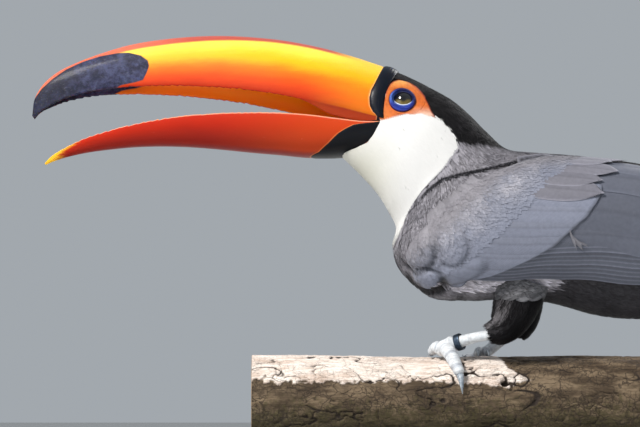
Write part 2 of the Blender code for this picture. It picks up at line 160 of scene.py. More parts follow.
def grid_faces(rows, columns, closed=False):
    """Quads between the points of a grid, which is closed round its columns if asked."""
    row, column = np.meshgrid(np.arange(rows - 1), np.arange(columns - (not closed)), indexing="ij")
    start, end, after = row * columns, (row + 1) * columns, (column + 1) % columns
    return np.stack([start + column, end + column, end + after, start + after], axis=-1).reshape(-1, 4)


def tube_faces(rows, columns):
    """Faces of a grid that is closed round its columns, with a flat cap at both ends."""
    first = np.arange(columns)[None]
    return [grid_faces(rows, columns, closed=True)[:, ::-1], first[:, ::-1], (rows - 1) * columns + first]


def piece(name, points, faces, look, stands_for=(), uvs=None, tint=None):
    """Makes a smooth mesh piece from points in millimetres and a list of face arrays, hides the CAD nodes
    that it stands for, and gives it UV maps and a tint, both held point by point."""
    mesh = bpy.data.meshes.new(name)
    points = np.asarray(points, float).reshape(-1, 3)
    corners = np.concatenate([group.ravel() for group in faces]).astype(np.int32)
    sizes = np.concatenate([np.full(len(group), group.shape[1]) for group in faces])
    mesh.vertices.add(len(points))
    mesh.vertices.foreach_set("co", (points * 0.001).astype(np.float32).ravel())
    mesh.loops.add(len(corners))
    mesh.loops.foreach_set("vertex_index", corners)
    mesh.polygons.add(len(sizes))
    mesh.polygons.foreach_set("loop_start", (np.cumsum(sizes) - sizes).astype(np.int32))
    mesh.update(calc_edges=True)
    mesh.shade_smooth()
    for uv_name, uv in (uvs or {}).items():
        layer = mesh.uv_layers.new(name=uv_name)
        layer.data.foreach_set("uv", np.asarray(uv, np.float32).reshape(-1, 2)[corners].ravel())
    if tint is not None:
        colours = np.ones((len(points), 4), np.float32)
        colours[:, :3] = np.asarray(tint).reshape(-1, 3)
        mesh.color_attributes.new("tint", "FLOAT_COLOR", "POINT").data.foreach_set("color", colours.ravel())
    made = bpy.data.objects.new(name, mesh)
    bpy.context.scene.collection.objects.link(made)
    mesh.materials.append(look)
    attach(made, "root")
    if stands_for:
        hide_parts(*stands_for)
    return made


BASE_LENGTH, BASE_DEPTH, BASE_THICK = 250.0, 150.0, 12.0
BASE_CENTRE_X, BASE_CORNER, BASE_EASE = -20.0, 12.0, 1.2


def base_outline(inset, steps=9):
    """A rectangle with rounded corners, smaller by inset: four quarter circles joined by straight sides."""
    corners = []
    for number, (x_side, y_side) in enumerate(((1, 1), (-1, 1), (-1, -1), (1, -1))):
        angle = np.linspace(0, math.pi / 2, steps) + number * math.pi / 2
        x = x_side * (BASE_LENGTH / 2 - BASE_CORNER) + (BASE_CORNER - inset) * np.cos(angle)
        y = y_side * (BASE_DEPTH / 2 - BASE_CORNER) + (BASE_CORNER - inset) * np.sin(angle)
        corners.append(vectors(x, y))
    return np.concatenate(corners) + (BASE_CENTRE_X, 0.0)


# The outline rises from a small bevel below to a quarter round above: inset, height.
base_levels = [(0.5, 0.0), (0.0, 0.5), (0.0, BASE_THICK - BASE_EASE)]
for turn in np.linspace(0, math.pi / 2, 6)[1:]:
    base_levels.append((BASE_EASE * (1 - math.cos(turn)), BASE_THICK - BASE_EASE * (1 - math.sin(turn))))
base_points = np.array([vectors(*base_outline(inset).T, height) for inset, height in base_levels])


def stand_paint(place):
    """Satin paint over wood: hardly visible grain and brush marks."""
    grain = place.stretched(0.05, 1.0, 1.0).noise(2.5)
    return {"Roughness": 0.36 + 0.1 * grain, "Normal": grain.bump(0.05)}


base_black = paint("satin_black_paint", stand_paint, Base_Color=(0.016, 0.016, 0.017))
base_faces = tube_faces(*base_points.shape[:2])
piece("display_base", base_points, base_faces, base_black, ["stand_base"])

ROD_PLACES, ROD_SIDES = (-85.0, 45.0), 40
ROD_PROFILE = ((4.6, 12.3), (5.0, 12.7), (5.0, 52.8), (4.8, 53.4))  # radius, height


def steel(place):
    """Fine turning marks round the rod."""
    marks = place.stretched(0.2, 0.2, 6.0).noise(1.0)
    return {"Roughness": 0.24 + 0.14 * marks}


rod_steel = paint("satin_steel", steel, Base_Color=(0.55, 0.56, 0.58), Metallic=1.0)
rod_turn, (rod_radius, rod_height) = circle(ROD_SIDES), np.array(ROD_PROFILE).T[:, :, None]
for number, rod_x in enumerate(ROD_PLACES, start=1):
    rod_points = vectors(rod_x + rod_radius * np.cos(rod_turn), rod_radius * np.sin(rod_turn), rod_height)
    rod_faces = tube_faces(len(ROD_PROFILE), ROD_SIDES)
    piece(f"display_rod_{number}", rod_points, rod_faces, rod_steel, [f"stand_rod_{number}"])

# ---------------------------------------------------------------- the log
# A cut length of weathered branch, pale on top partly from bleaching and partly as painted sunlight, brown
# below and painted darker towards the underside as shade, with long drying cracks painted dark as the shade
# in them. Under the animal the top is left brown, a painted shadow. Its ends are sawn square and show rings.

LOG_RADIUS, LOG_AXIS_Z, LOG_START_X, LOG_END_X = 28.0, 82.0, -150.0, 110.0
LOG_ROWS, LOG_COLUMNS = 405, 235
KNOT_X, KNOT_ANGLE, KNOT_RADIUS = -9.7, math.radians(62.0), 2.1


def wobble(points, size, seed=0):
    """Smooth noise from -1 to 1: values hashed at the corners of cubes of that size, blended between."""
    spot = np.asarray(points, float) / size + seed * 17.31
    cell = np.floor(spot)
    part = spot - cell
    part = part * part * (3 - 2 * part)
    total = 0.0
    for corner in np.ndindex(2, 2, 2):
        hashed = np.sin((cell + corner) @ (12.9898, 78.233, 37.719)) * 43758.5453
        weight = np.prod(np.where(np.array(corner), part, 1 - part), axis=-1)
        total = total + weight * (hashed - np.floor(hashed))
    return 2 * total - 1


def fade(value, start, end):
    """1 before start, 0 after end, and a smooth step between."""
    x = np.clip((end - value) / (end - start), 0, 1)
    return x * x * (3 - 2 * x)


def hump(value, width):
    """The bell curve exp(-(value / width)^2)."""
    return np.exp(-((value / width) ** 2))


def log_radius(x, angle):
    """The log's radius, in gentle swells along it and round it, at an angle from its top."""
    return LOG_RADIUS + 0.5 * np.sin(x / 23.0 + 0.6) + 0.35 * np.sin(2 * angle + x / 41.0)


def on_bark(x, angle):
    """Points on the even cylinder of the log, for noise."""
    return vectors(x, LOG_RADIUS * np.sin(angle), LOG_RADIUS * np.cos(angle))


def knot_away(x, angle):
    """Distance over the bark from the middle of the knot hole."""
    return np.hypot((x - KNOT_X) * 0.85, (angle - KNOT_ANGLE) * LOG_RADIUS)


def crust(x, angle):
    """1 on the crust of the upper side and 0 beyond its ragged edges; its pale is partly bleaching and partly
    painted sunlight. It comes lower round the knot and thins out towards the log's thick end, where its upper
    edge leaves the top brown: a painted shadow of the animal."""
    ring, height = on_bark(x, angle), LOG_RADIUS * np.cos(angle)
    ragged = 2.4 * wobble(ring * (0.5, 1.0, 1.0), 13.0, 14)
    ragged = ragged + 2.0 * wobble(ring, 4.0, 15) + 1.6 * wobble(ring, 1.6, 16)
    lower = 14.0 + ragged - 4.0 * hump(knot_away(x, angle), 8.0)
    # Painted shadow: above this upper edge the crust gives way to brown wood, under the animal on the log's
    # top.
    upper = np.interp(x, (-26.0, -9.0, 3.4, 10.0, 30.0), (40.0, 23.5, 15.5, 9.0, -8.0)) + 0.5 * ragged
    return fade(height, lower + 0.45, lower - 0.45) * fade(height, upper - 0.6, upper + 0.6)


# Networks of cracks: scale of the noise along and across, size, width, seed, how much of the bark has them.
CRACKS = ((0.34, 1.0, 7.5, 0.05, 5, 0.15), (1.0, 0.55, 9.5, 0.035, 7, -0.2), (0.22, 1.0, 9.0, 0.04, 8, 0.1))


def cracks(x, angle):
    """Drying cracks, from 0 to 1: the valleys where a bent noise passes through nought. Long ones run along
    the log, and short ones across it part the bark into plates."""
    ring = on_bark(x, angle)
    bent = ring + wobble(ring, 7.0, 3)[..., None] * 2.4 + wobble(ring, 2.2, 4)[..., None] * 0.9
    deepest = 0.0
    for along, across, size, width, seed, share in CRACKS:
        near = hump(wobble(bent * (along, across, across), size, seed), width)
        there = np.clip(share + 1.2 * wobble(ring * (0.6, 1.0, 1.0), 12.0, seed + 20) + 0.3, 0, 1)
        deepest = np.maximum(deepest, near * there)
    return deepest


def bark(x, angle):
    """How far the bark stands out, and the amount of crust and of cracks: plates between the cracks, the
    crust's step, fibres along the log and a knot hole with a raised lip."""
    ring, pale = on_bark(x, angle), crust(x, angle)
    crack, away = cracks(x, angle), knot_away(x, angle)
    fibres = 0.12 * wobble(ring * (0.22, 1.2, 1.2), 1.5, 9) + 0.09 * wobble(ring * (0.5, 2.0, 2.0), 1.8, 10)
    plates = 0.4 * wobble(ring * (0.45, 1.0, 1.0), 5.5, 11) + 0.16 * wobble(ring, 1.9, 13)
    hole = fade(away, KNOT_RADIUS * 0.7, KNOT_RADIUS * 1.15)
    height = fibres + plates - 1.1 * crack + 0.6 * pale + 0.5 * hump(away - 3.6, 1.1)
    return height * (1 - hole) - 3.2 * hole, pale, np.maximum(crack, hole)


log_x = np.linspace(LOG_START_X + 0.01, LOG_END_X - 0.01, LOG_ROWS)
log_x = np.concatenate([[LOG_START_X], log_x, [LOG_END_X]])[:, None]
log_turn = circle(LOG_COLUMNS) + 1.2 - 0.45 * np.sin(circle(LOG_COLUMNS))  # closer on the near side
from_top = (log_turn + math.pi) % (2 * math.pi) - math.pi
log_relief, log_pale, log_painted_crack_shade = bark(*np.broadcast_arrays(log_x, from_top))
log_reach = log_radius(log_x, log_turn) - 0.3 + log_relief
log_points = vectors(log_x, -log_reach * np.sin(log_turn), LOG_AXIS_Z + log_reach * np.cos(log_turn))
log_marks = vectors(log_pale, log_painted_crack_shade, 0.0)


def sawn_end(ring, shares):
    """Rings that lead from an end of the bark towards the log's axis, at these shares of its reach."""
    axis = np.array((0.0, 0.0, LOG_AXIS_Z))
    return axis + (ring - axis) * vectors(1.0, np.array(shares), np.array(shares))[:, None]


first_end, last_end = sawn_end(log_points[0], (0.25, 0.6, 0.96)), sawn_end(log_points[-1], (0.96, 0.6, 0.25))
log_points = np.concatenate([first_end, log_points, last_end])
log_marks = np.concatenate([0 * first_end, log_marks, 0 * last_end])


def tint_of(place):
    """The colour that the piece holds point by point."""
    return place.node("ShaderNodeAttribute", {"attribute_name": "tint"})


def bark_paint(place):
    """Pinkish crust on top, pale partly from bleaching and partly as painted sunlight, cracked brown wood
    below that is painted darker towards the underside as shade, green towards the underside, cracks and knot
    hole painted near black as the shade in them, and rings on the sawn ends. The piece's tint tells the crust
    and the cracks."""
    x, y, z = place.part("X"), place.part("Y"), place.part("Z")
    reach = (y * y + (z - LOG_AXIS_Z) * (z - LOG_AXIS_Z)) ** 0.5
    marks = tint_of(place)
    pale, dark = marks.part("X"), marks.part("Y")
    cloud = place.node("ShaderNodeTexNoise", None, {"Vector": place, "Scale": 0.25, "Detail": 4.0}, 1)
    bent = place.vector("ADD", cloud.stretched(5.0, 5.0, 5.0))
    plates = bent.stretched(0.45, 1.0, 1.0).cells(5.0).step(0.0, 0.045)
    splits = bent.stretched(1.0, 0.6, 0.6).cells(2.6).step(0.0, 0.05)
    some = place.stretched(0.4, 1.0, 1.0).noise(9.0).step(0.38, 0.56)
    many = place.stretched(0.6, 1.0, 1.0).noise(16.0).step(0.34, 0.52)
    lines = place.stretched(0.10, 1.0, 1.0).noise(0.8, 4.0, 0.6)
    patches = place.stretched(0.35, 1.0, 1.0).noise(7.0, 6.0, 0.65)
    pits = place.stretched(0.5, 1.0, 1.0).noise(0.9, 4.0, 0.7)
    brown = patches.step(0.38, 0.64).mix((0.062, 0.040, 0.021), (0.20, 0.145, 0.090))
    green = (place.noise(4.0, 6.0, 0.75) + 0.014 * (LOG_AXIS_Z + 2 - z)).step(0.44, 0.66)
    brown = (green * 0.75).mix(brown, (0.062, 0.052, 0.014))
    # Painted shade: the brown is painted darker towards the log's underside.
    brown = (z.step(90.0, 66.0) * 0.65).mix(brown, (0.40, 0.40, 0.32), "MULTIPLY")
    bleached_and_painted_sunlight = patches.step(0.3, 0.6).mix((0.66, 0.53, 0.45), (0.93, 0.85, 0.79))
    low = (z + 5.0 * place.noise(5.0)).step(105.0, 97.0)
    bleached_and_painted_sunlight = (pits.step(0.47, 0.33) * (0.3 + 0.7 * low)).mix(bleached_and_painted_sunlight, (0.24, 0.14, 0.085))
    wood = pale.mix(brown, bleached_and_painted_sunlight)
    wood = ((1 - lines.step(0.32, 0.6)) * 0.6).mix(wood, (0.50, 0.42, 0.36), "MULTIPLY")
    # Painted shade: the fine splits, the cracks and the knot hole are painted near black for the shade in
    # these recesses.
    fine = (1 - (1 - (1 - plates) * many) * (1 - (1 - splits) * some)) * (1 - 0.6 * pale)
    wood = (fine * 0.9).mix(wood, (0.030, 0.018, 0.010))
    wood = dark.step(0.12, 0.75).mix(wood, (0.022, 0.013, 0.008))
    rings = ((reach + 2.0 * place.noise(9.0)) * 1.9).sine().step(-1.0, 1.0)
    sawn_wood = rings.mix((0.40, 0.26, 0.14), (0.55, 0.40, 0.24))
    half_length = (LOG_END_X - LOG_START_X) / 2
    end = (x - (LOG_START_X + LOG_END_X) / 2).absolute().step(half_length - 0.3, half_length - 0.05)
    grain = lines * 0.7 + pits * 0.5 - fine * 0.6
    return {"Base Color": end.mix(wood, sawn_wood), "Normal": grain.bump(0.5)}


weathered = paint("weathered_bark", bark_paint, Roughness=0.85)
log_faces = tube_faces(len(log_points), LOG_COLUMNS)
piece("log", log_points, log_faces, weathered, ["perch_log"], tint=log_marks)

# ---------------------------------------------------------------- the bill
# Two light hollow halves of thin polished horn, parted in a call. A black cushion rings the base, and
# the tip of the upper half is slate. The cutting edges are worn into small irregular teeth.

HEAD_ROLL, HEAD_ROLL_AXIS_Z = math.radians(-11.5), 251.0

# Upper half: ridge x, ridge z, cutting edge x, cutting edge z, half width. The first row of each half is
# inside the head.
BILL_UPPER = (
    (-62.5, 266.6, -67.5, 235.8, 19.6),
    (-71.7, 270.6, -76.7, 238.0, 20.0),
    (-80.6, 273.8, -85.5, 240.6, 20.0),
    (-94.0, 278.4, -99.5, 244.6, 19.7),
    (-112.0, 283.6, -117.0, 248.6, 18.8),
    (-131.6, 287.6, -135.0, 252.4, 17.6),
    (-148.5, 289.6, -150.5, 255.2, 16.0),
    (-165.5, 290.6, -166.5, 257.2, 14.2),
    (-182.5, 290.3, -182.0, 258.6, 12.4),
    (-201.0, 288.6, -200.0, 259.4, 10.5),
    (-218.5, 285.6, -216.0, 259.4, 8.8),
    (-234.5, 280.8, -231.0, 258.6, 7.2),
    (-248.0, 275.6, -243.5, 256.6, 5.8),
    (-259.0, 270.0, -254.5, 253.6, 4.3),
    (-267.2, 262.8, -263.3, 249.8, 2.8),
    (-272.0, 254.2, -268.6, 246.6, 1.6),
    (-273.2, 244.6, -271.8, 242.6, 0.6),
)
# Lower half: keel x, keel z, cutting edge x, cutting edge z, half width.
BILL_LOWER = (
    (-88.5, 222.0, -65.1, 236.4, 18.9),
    (-98.0, 221.4, -77.3, 236.6, 18.6),
    (-107.5, 220.8, -89.5, 236.8, 18.2),
    (-120.5, 220.9, -103.5, 238.8, 17.2),
    (-134.5, 222.2, -120.5, 241.2, 16.0),
    (-150.0, 223.5, -140.0, 242.8, 14.4),
    (-167.0, 225.2, -159.5, 243.2, 12.4),
    (-183.5, 226.5, -179.0, 242.6, 10.6),
    (-200.0, 227.0, -197.0, 241.0, 9.2),
    (-215.5, 226.5, -214.0, 238.2, 7.7),
    (-229.5, 225.1, -229.5, 234.6, 6.2),
    (-242.0, 223.3, -243.0, 230.5, 4.6),
    (-252.5, 220.9, -254.0, 225.6, 3.0),
    (-260.0, 218.5, -261.5, 221.2, 1.7),
    (-265.2, 216.2, -265.8, 217.0, 0.6),
)
# Front and back edge of the black cushion of the upper half, and of the black patch of the lower one:
# share of the height from the cutting edge, row.
CUSHION_EDGE = ((0.0, 1.45), (0.05, 1.75), (0.14, 1.97), (0.28, 2.05), (0.41, 2.02), (0.6, 1.85),
                (0.89, 1.60), (1.0, 1.52))
CUSHION_BACK = ((0.0, 1.0), (0.12, 1.10), (0.30, 1.17), (0.51, 1.10), (0.7, 0.92), (0.85, 0.72), (1.0, 0.60))
PATCH_EDGE = ((0.0, 1.0), (0.05, 1.45), (0.08, 1.9), (0.14, 2.12), (0.28, 2.27), (0.43, 2.37), (0.72, 2.40),
              (0.93, 2.51), (1.0, 2.75))
PATCH_BACK = ((0.0, 0.7), (0.15, 0.4), (0.35, 0.22), (0.56, 0.26), (0.86, 0.58), (1.0, 0.9))
# Outline of the slate tip in the bill's own side view: x, z.
SLATE_OUTLINE = (
    (-228.0, 257.5), (-223.2, 260.1), (-215.5, 261.6), (-210.9, 263.0), (-209.1, 267.0), (-207.7, 271.0),
    (-208.5, 274.2), (-212.5, 277.5), (-219.0, 279.4), (-225.5, 279.6), (-235.4, 278.2), (-244.9, 275.2),
    (-254.4, 270.8), (-262.0, 265.6), (-268.0, 260.0), (-272.0, 254.5), (-276.0, 250.0), (-276.0, 236.0),
    (-262.0, 236.0), (-245.0, 250.0),
)


def smooth(rows, t):
    """Values at t, counted in rows, on the Catmull-Rom curves that pass through the rows."""
    p = np.asarray(rows, float)
    p = np.vstack([2 * p[0] - p[1], p, 2 * p[-1] - p[-2]])
    t = np.clip(np.asarray(t, float), 0, len(rows) - 1)
    i = np.minimum(t.astype(int), len(rows) - 2)
    f = (t - i)[..., None]
    a, b, c, d = p[i], p[i + 1], p[i + 2], p[i + 3]
    return 0.5 * (2 * b + (c - a) * f + (2 * a - 5 * b + 4 * c - d) * f**2 + (3 * b - a - 3 * c + d) * f**3)


def table_at(rows, value):
    """The second column of a short table at a value of its first, on straight lines between its rows."""
    first, second = np.asarray(rows, float).T
    return np.interp(value, first, second)


def superellipse(angle, exponent):
    """Sine and cosine of the angle, each drawn out to the given superellipse."""
    s, c = np.sin(angle), np.cos(angle)
    power = 2 / exponent
    return np.sign(s) * np.abs(s) ** power, np.sign(c) * np.abs(c) ** power


def rolled(points, share=1.0):
    """Points turned about the head's long axis by that share of the head's roll."""
    angle = HEAD_ROLL * np.asarray(share, float)
    x, y, z = points[..., 0], points[..., 1], points[..., 2] - HEAD_ROLL_AXIS_Z
    turned_z = y * np.sin(angle) + z * np.cos(angle)
    return vectors(x, y * np.cos(angle) - z * np.sin(angle), turned_z + HEAD_ROLL_AXIS_Z)


def from_side_line(x, z, start, end):
    """Share of the way from start to end at which a straight side comes nearest to the points (x, z), and
    their distance from it."""
    (x0, z0), (x1, z1) = start, end
    share = ((x - x0) * (x1 - x0) + (z - z0) * (z1 - z0)) / ((x1 - x0) ** 2 + (z1 - z0) ** 2)
    share = np.clip(share, 0, 1)
    return share, np.hypot(x - x0 - share * (x1 - x0), z - z0 - share * (z1 - z0))


def depth_inside(x, z, outline):
    """Distance of the points (x, z) from a closed outline, positive inside it: the least distance to any of
    its sides, with the sign from how often a ray crosses them."""
    outline = np.asarray(outline, float)
    near, crossings = np.full(np.shape(x), 1e9), np.zeros(np.shape(x), int)
    for (x0, z0), (x1, z1) in zip(outline, np.roll(outline, -1, axis=0)):
        near = np.minimum(near, from_side_line(x, z, (x0, z0), (x1, z1))[1])
        between = (z0 > z) != (z1 > z)
        crossings += between & (x < (x1 - x0) * (z - z0) / np.where(z1 == z0, 1e-9, z1 - z0) + x0)
    return np.where(crossings % 2 == 1, near, -near)


def unit(values):
    """Vectors made one long."""
    return values / np.maximum(np.linalg.norm(values, axis=-1, keepdims=True), 1e-9)


def outward(points):
    """Unit normals of a tube, a grid that is closed round its columns: the cross product of its two
    directions, turned to lead away from the tube's middle."""
    across = np.roll(points, -1, axis=1) - np.roll(points, 1, axis=1)
    normal = unit(np.cross(across, np.gradient(points, axis=0)))
    away = points - points.mean(axis=1, keepdims=True)
    return normal * np.sign(np.sum(normal * away))


def facing_out(points, faces):
    """The faces, turned round if the volume that they close is negative."""
    flat = points.reshape(-1, 3)
    volume = 0.0
    for group in faces:
        for k in range(1, group.shape[1] - 1):
            a, b, c = flat[group[:, 0]], flat[group[:, k]], flat[group[:, k + 1]]
            volume += np.einsum("ij,ij->", a, np.cross(b, c))
    return faces if volume > 0 else [group[:, ::-1] for group in faces]


def teeth(length, seed):
    """How far a worn edge stands back, in millimetres: a rising step every 4 mm or so, of uneven depth."""
    spot = vectors(length, 0, 0)
    phase = length / 4.1 + 0.45 * wobble(spot, 9.0, seed)
    step = phase - np.floor(phase)
    shape = np.where(step < 0.8, step / 0.8, (1 - step) / 0.2)
    return (0.42 + 0.34 * wobble(spot, 6.0, seed + 1)) * shape + 0.12 * wobble(spot, 1.3, seed + 2)


BILL_ROWS, UV_SPAN = 340, 300.0  # the UV map's X counts the length along the bill in spans of so many mm
OUTSIDE, LEFT_LIP, HOLLOW, RIGHT_LIP = range(4)  # stretches of the section


def bill_half(name, rows, exponent, hollow, fold, back, relief, look, stands_for, seed):
    """One half of the bill. Its section is an outer half ellipse drawn out square, from the right cutting
    edge over the ridge to the left one, then the lip and the hollow inside. relief gives each outer point's
    height over the horn, and three marks; fold is how far the lip hangs down at each row; back is a table of
    the row where the half begins at each share of its height."""
    share_along = np.linspace(0, 1, BILL_ROWS)[:, None]
    outer, inner = np.linspace(0, math.pi, 101), np.linspace(math.pi, 0, 33)
    lip = np.linspace(0, 1, 16)[1:-1]
    up, across = superellipse(outer, exponent)
    height = np.concatenate([up, 0 * lip, np.sin(inner), 0 * lip])
    part = np.repeat((OUTSIDE, LEFT_LIP, HOLLOW, RIGHT_LIP), (len(outer), len(lip), len(inner), len(lip)))
    first = table_at(back, np.clip(height, 0, 1))
    t = first + (len(rows) - 1 - first) * share_along
    row = smooth(rows, t)
    width, size = row[..., 4], np.minimum(1.0, row[..., 4] / 6.0)
    wall = np.minimum(1.1, 0.45 * width)
    droop = fold(t)
    back_bend = np.sin((1 - lip) / 0.38 * math.pi / 2) ** 0.8
    bend = np.where(lip < 0.62, np.sin(lip / 0.62 * math.pi / 2), back_bend)
    y, up_share, drop = np.zeros_like(t), np.zeros_like(t), np.zeros_like(t)
    for stretch, side in ((LEFT_LIP, -1), (RIGHT_LIP, 1)):
        at = part == stretch
        ease, shape = (lip, bend) if side < 0 else (lip[::-1], bend[::-1])
        y[:, at] = side * (width[:, at] - wall[:, at] * ease - 0.66 * droop[:, at] * shape**0.8)
        drop[:, at] = droop[:, at] * shape + 0.25 * size[:, at] * np.sin(math.pi * ease)
    at = part == OUTSIDE
    y[:, at], up_share[:, at] = width[:, at] * across, up
    at = part == HOLLOW
    y[:, at] = (width[:, at] - wall[:, at]) * np.cos(inner)
    up_share[:, at] = hollow * size[:, at] * np.sin(inner)
    length = -row[..., 2]
    worn = teeth(length + 1.7 * np.sign(y), seed) * hump(up_share, 0.045) * size
    worn = worn * fade(-t, -5.2, -4.0) * (droop < 0.3)
    rise = np.hypot(row[..., 0] - row[..., 2], row[..., 1] - row[..., 3])
    up_share = up_share + (worn - drop) / rise
    x = row[..., 2] + (row[..., 0] - row[..., 2]) * up_share
    z = row[..., 3] + (row[..., 1] - row[..., 3]) * up_share
    points = vectors(x, y, z)
    raised, *marks = relief(t, height, part, x, z)
    points = points + outward(points) * raised[..., None]
    shown = np.where(part == OUTSIDE, height, np.where(part == HOLLOW, -1.0, -0.2))
    faces = facing_out(points, tube_faces(*points.shape[:2]))
    uvs = {"bill": vectors(length / UV_SPAN, shown)}
    piece(name, rolled(points), faces, look, stands_for, uvs, vectors(*marks))


def upper_relief(t, share, part, x, z):
    """Height over the horn, then the depths inside the black cushion and the slate tip, and the fold."""
    front, back = table_at(CUSHION_EDGE, share), table_at(CUSHION_BACK, share)
    slate = depth_inside(x, z, SLATE_OUTLINE)
    cushion = (front - t) * 11.0
    middle = np.clip((t - back + 0.06) / (front - back + 0.06), 0, 1)
    raised = 1.25 * np.sin(math.pi * middle) ** 0.55 - 0.22 * hump(cushion, 0.5)
    wrinkle = 0.05 * np.sin(2 * math.pi * (middle * 5.5 + 0.2 * np.sin(9 * share))) * fade(middle, 0.3, 0.75)
    ridge = 0.35 * hump(share - 0.03, 0.03) * fade(t, 3.2, 4.2)
    height = np.where(part == OUTSIDE, raised + wrinkle + ridge, 0)
    return height, cushion, np.where(part == HOLLOW, slate - 1, slate), fade(t, 3.3, 4.4)


def upper_fold(t):
    """How far the edge of the upper half hangs down inside the lower one near the corner of the mouth."""
    return 5.0 * fade(t, 3.1, 4.5) * (1 - 0.75 * fade(t, 1.2, 2.6))


def lower_relief(t, share, part, *_):
    """Height over the horn, then the depth inside the black patch, the yellow of the tip, and nought."""
    patch = (table_at(PATCH_EDGE, share) - t) * 12.0
    raised = 0.25 * (1 - fade(patch, 0.0, 0.8))
    return np.where(part == OUTSIDE, raised, 0), np.where(part == HOLLOW, -5, patch), t - 12.0, 0


def uv_of(place, name):
    """The vector of a UV map of the piece."""
    return place.node("ShaderNodeUVMap", {"uv_map": name})


def horn_fields(place, scratch_size):
    """What both halves' paints are made of: share of the height, length in millimetres, the three marks,
    clouds, streaks, mottling, scratches of that size, and grain along the bill."""
    uv, marks = uv_of(place, "bill"), tint_of(place)
    lengthwise = place.stretched(0.35, 1.0, 1.0), place.stretched(0.06, 1.0, 1.0)
    return (
        uv.part("Y"),
        uv.part("X") * UV_SPAN,
        [marks.part(axis) for axis in "XYZ"],
        lengthwise[0].noise(9.0, 4.0) - 0.5,
        lengthwise[1].noise(1.6, 3.0) - 0.5,
        place.noise(5.0, 5.0, 0.7),
        place.stretched(0.4, 1.0, 1.0).noise(scratch_size, 6.0, 0.75),
        place.stretched(0.15, 1.0, 1.0).noise(0.8, 4.0),
    )


def upper_horn(place):
    """Yellow horn that deepens to orange and red towards the cutting edge, with a pink stripe on the ridge,
    a slate tip with a brown rim, and a black cushion."""
    share, length, marks, cloud, streak, mottle, scratches, grain = horn_fields(place, 1.1)
    cushion, slate, corner = marks
    level = share + 0.13 * cloud + 0.05 * streak + 0.02 * length.step(110.0, 200.0)
    colour = level.step(-0.02, 0.20).mix((0.42, 0.026, 0.006), (0.64, 0.058, 0.007))
    colour = level.step(0.14, 0.42).mix(colour, (0.84, 0.160, 0.006))
    colour = level.step(0.36, 0.62).mix(colour, (0.95, 0.47, 0.010))
    # The yellow along the ridge is the horn's own colour, whitened a little as a painted highlight.
    colour = (level.step(0.58, 0.85) * 0.8).mix(colour, (1.0, 0.80, 0.11))
    colour = (length.step(125.0, 85.0) * 0.45).mix(colour, (0.86, 0.30, 0.012))
    reached = share + 0.01 * cloud + 0.01 * streak + 0.07 * length.step(120.0, 215.0)
    stripe = reached.step(0.87, 0.925) * length.step(92.0, 112.0)
    pink = length.step(175.0, 220.0).mix((0.40, 0.016, 0.062), (0.62, 0.085, 0.090))
    colour = (stripe * 0.9).mix(colour, pink)
    # Painted light: the inner wall is painted a bright orange for the light that comes through the thin horn
    # into the shaded hollow.
    inner = length.step(120.0, 250.0).mix((1.0, 0.40, 0.015), (0.85, 0.20, 0.02))
    colour = share.step(-0.3, -0.5).mix(colour, inner)
    # Painted shade: a dark red wedge in the fold of the lip near the corner of the mouth.
    wedge = share.step(-0.02, -0.15) * share.step(-0.45, -0.3) * corner
    colour = wedge.mix(colour, (0.42, 0.045, 0.010))
    dark = mottle.step(0.38, 0.66).mix((0.011, 0.013, 0.038), (0.056, 0.064, 0.135))
    dark = (length.step(236.0, 258.0) * 0.7).mix(dark, (0.010, 0.011, 0.022))
    dark = (scratches.step(0.56, 0.72) * 0.5).mix(dark, (0.16, 0.16, 0.21))
    slate = slate + 0.8 * cloud
    in_slate = slate.step(-0.15, 0.25)
    colour = in_slate.mix(colour, dark)
    rim = slate.step(-0.5, -0.1) * (1 - in_slate)
    colour = (rim * 0.5).mix(colour, (0.25, 0.09, 0.03))
    in_cushion = (cushion + 0.15 * streak).step(-0.1, 0.15)
    colour = in_cushion.mix(colour, (0.006, 0.008, 0.015))
    line = cushion.step(-1.0, -0.3) * (1 - in_cushion)
    colour = (line * 0.35).mix(colour, (0.95, 0.55, 0.22))
    rough = 0.30 + 0.16 * mottle + 0.1 * in_slate - 0.04 * in_cushion
    height = 0.5 * grain + scratches * (0.4 + 1.4 * in_slate)
    return {"Base Color": colour, "Roughness": rough, "Normal": height.bump(0.10)}


def lower_horn(place):
    """Vermilion horn, more orange at its base, with a yellow tip, a pale worn edge and a black base; it is
    painted darker towards the keel as shade.
    """
    share, length, marks, cloud, streak, mottle, scratches, grain = horn_fields(place, 1.3)
    patch, tip = marks[:2]
    level = share + 0.3 * cloud + 0.1 * streak
    # Painted shade: the horn is painted darker towards the keel, the underside that lies in shade.
    colour = level.step(0.0, 0.9).mix((0.48, 0.021, 0.005), (0.29, 0.011, 0.004))
    colour = (length.step(175.0, 95.0) * 0.75).mix(colour, (0.56, 0.060, 0.008))
    colour = (share + 0.02 * streak).step(0.90, 1.0).mix(colour, (0.20, 0.012, 0.010))
    yellow = (tip + 0.9 * share.step(0.6, 0.0) + 1.2 * streak).step(0.0, 1.2)
    colour = yellow.mix(colour, (0.90, 0.50, 0.03))
    edge = (share + 0.01 * streak).step(0.045, 0.005) * share.step(-0.6, -0.3)
    colour = (edge * 0.75).mix(colour, (0.83, 0.42, 0.28))
    colour = share.step(-0.3, -0.5).mix(colour, (0.60, 0.10, 0.03))
    in_patch = (patch + 0.2 * streak).step(-0.1, 0.2)
    colour = in_patch.mix(colour, (0.005, 0.006, 0.009))
    line = patch.step(-0.9, -0.3) * (1 - in_patch)
    colour = (line * 0.4).mix(colour, (0.80, 0.30, 0.08))
    colour = (scratches.step(0.66, 0.74) * 0.35).mix(colour, (0.85, 0.35, 0.25))
    height = 0.5 * grain + 0.4 * scratches
    return {"Base Color": colour, "Roughness": 0.30 + 0.18 * mottle, "Normal": height.bump(0.10)}


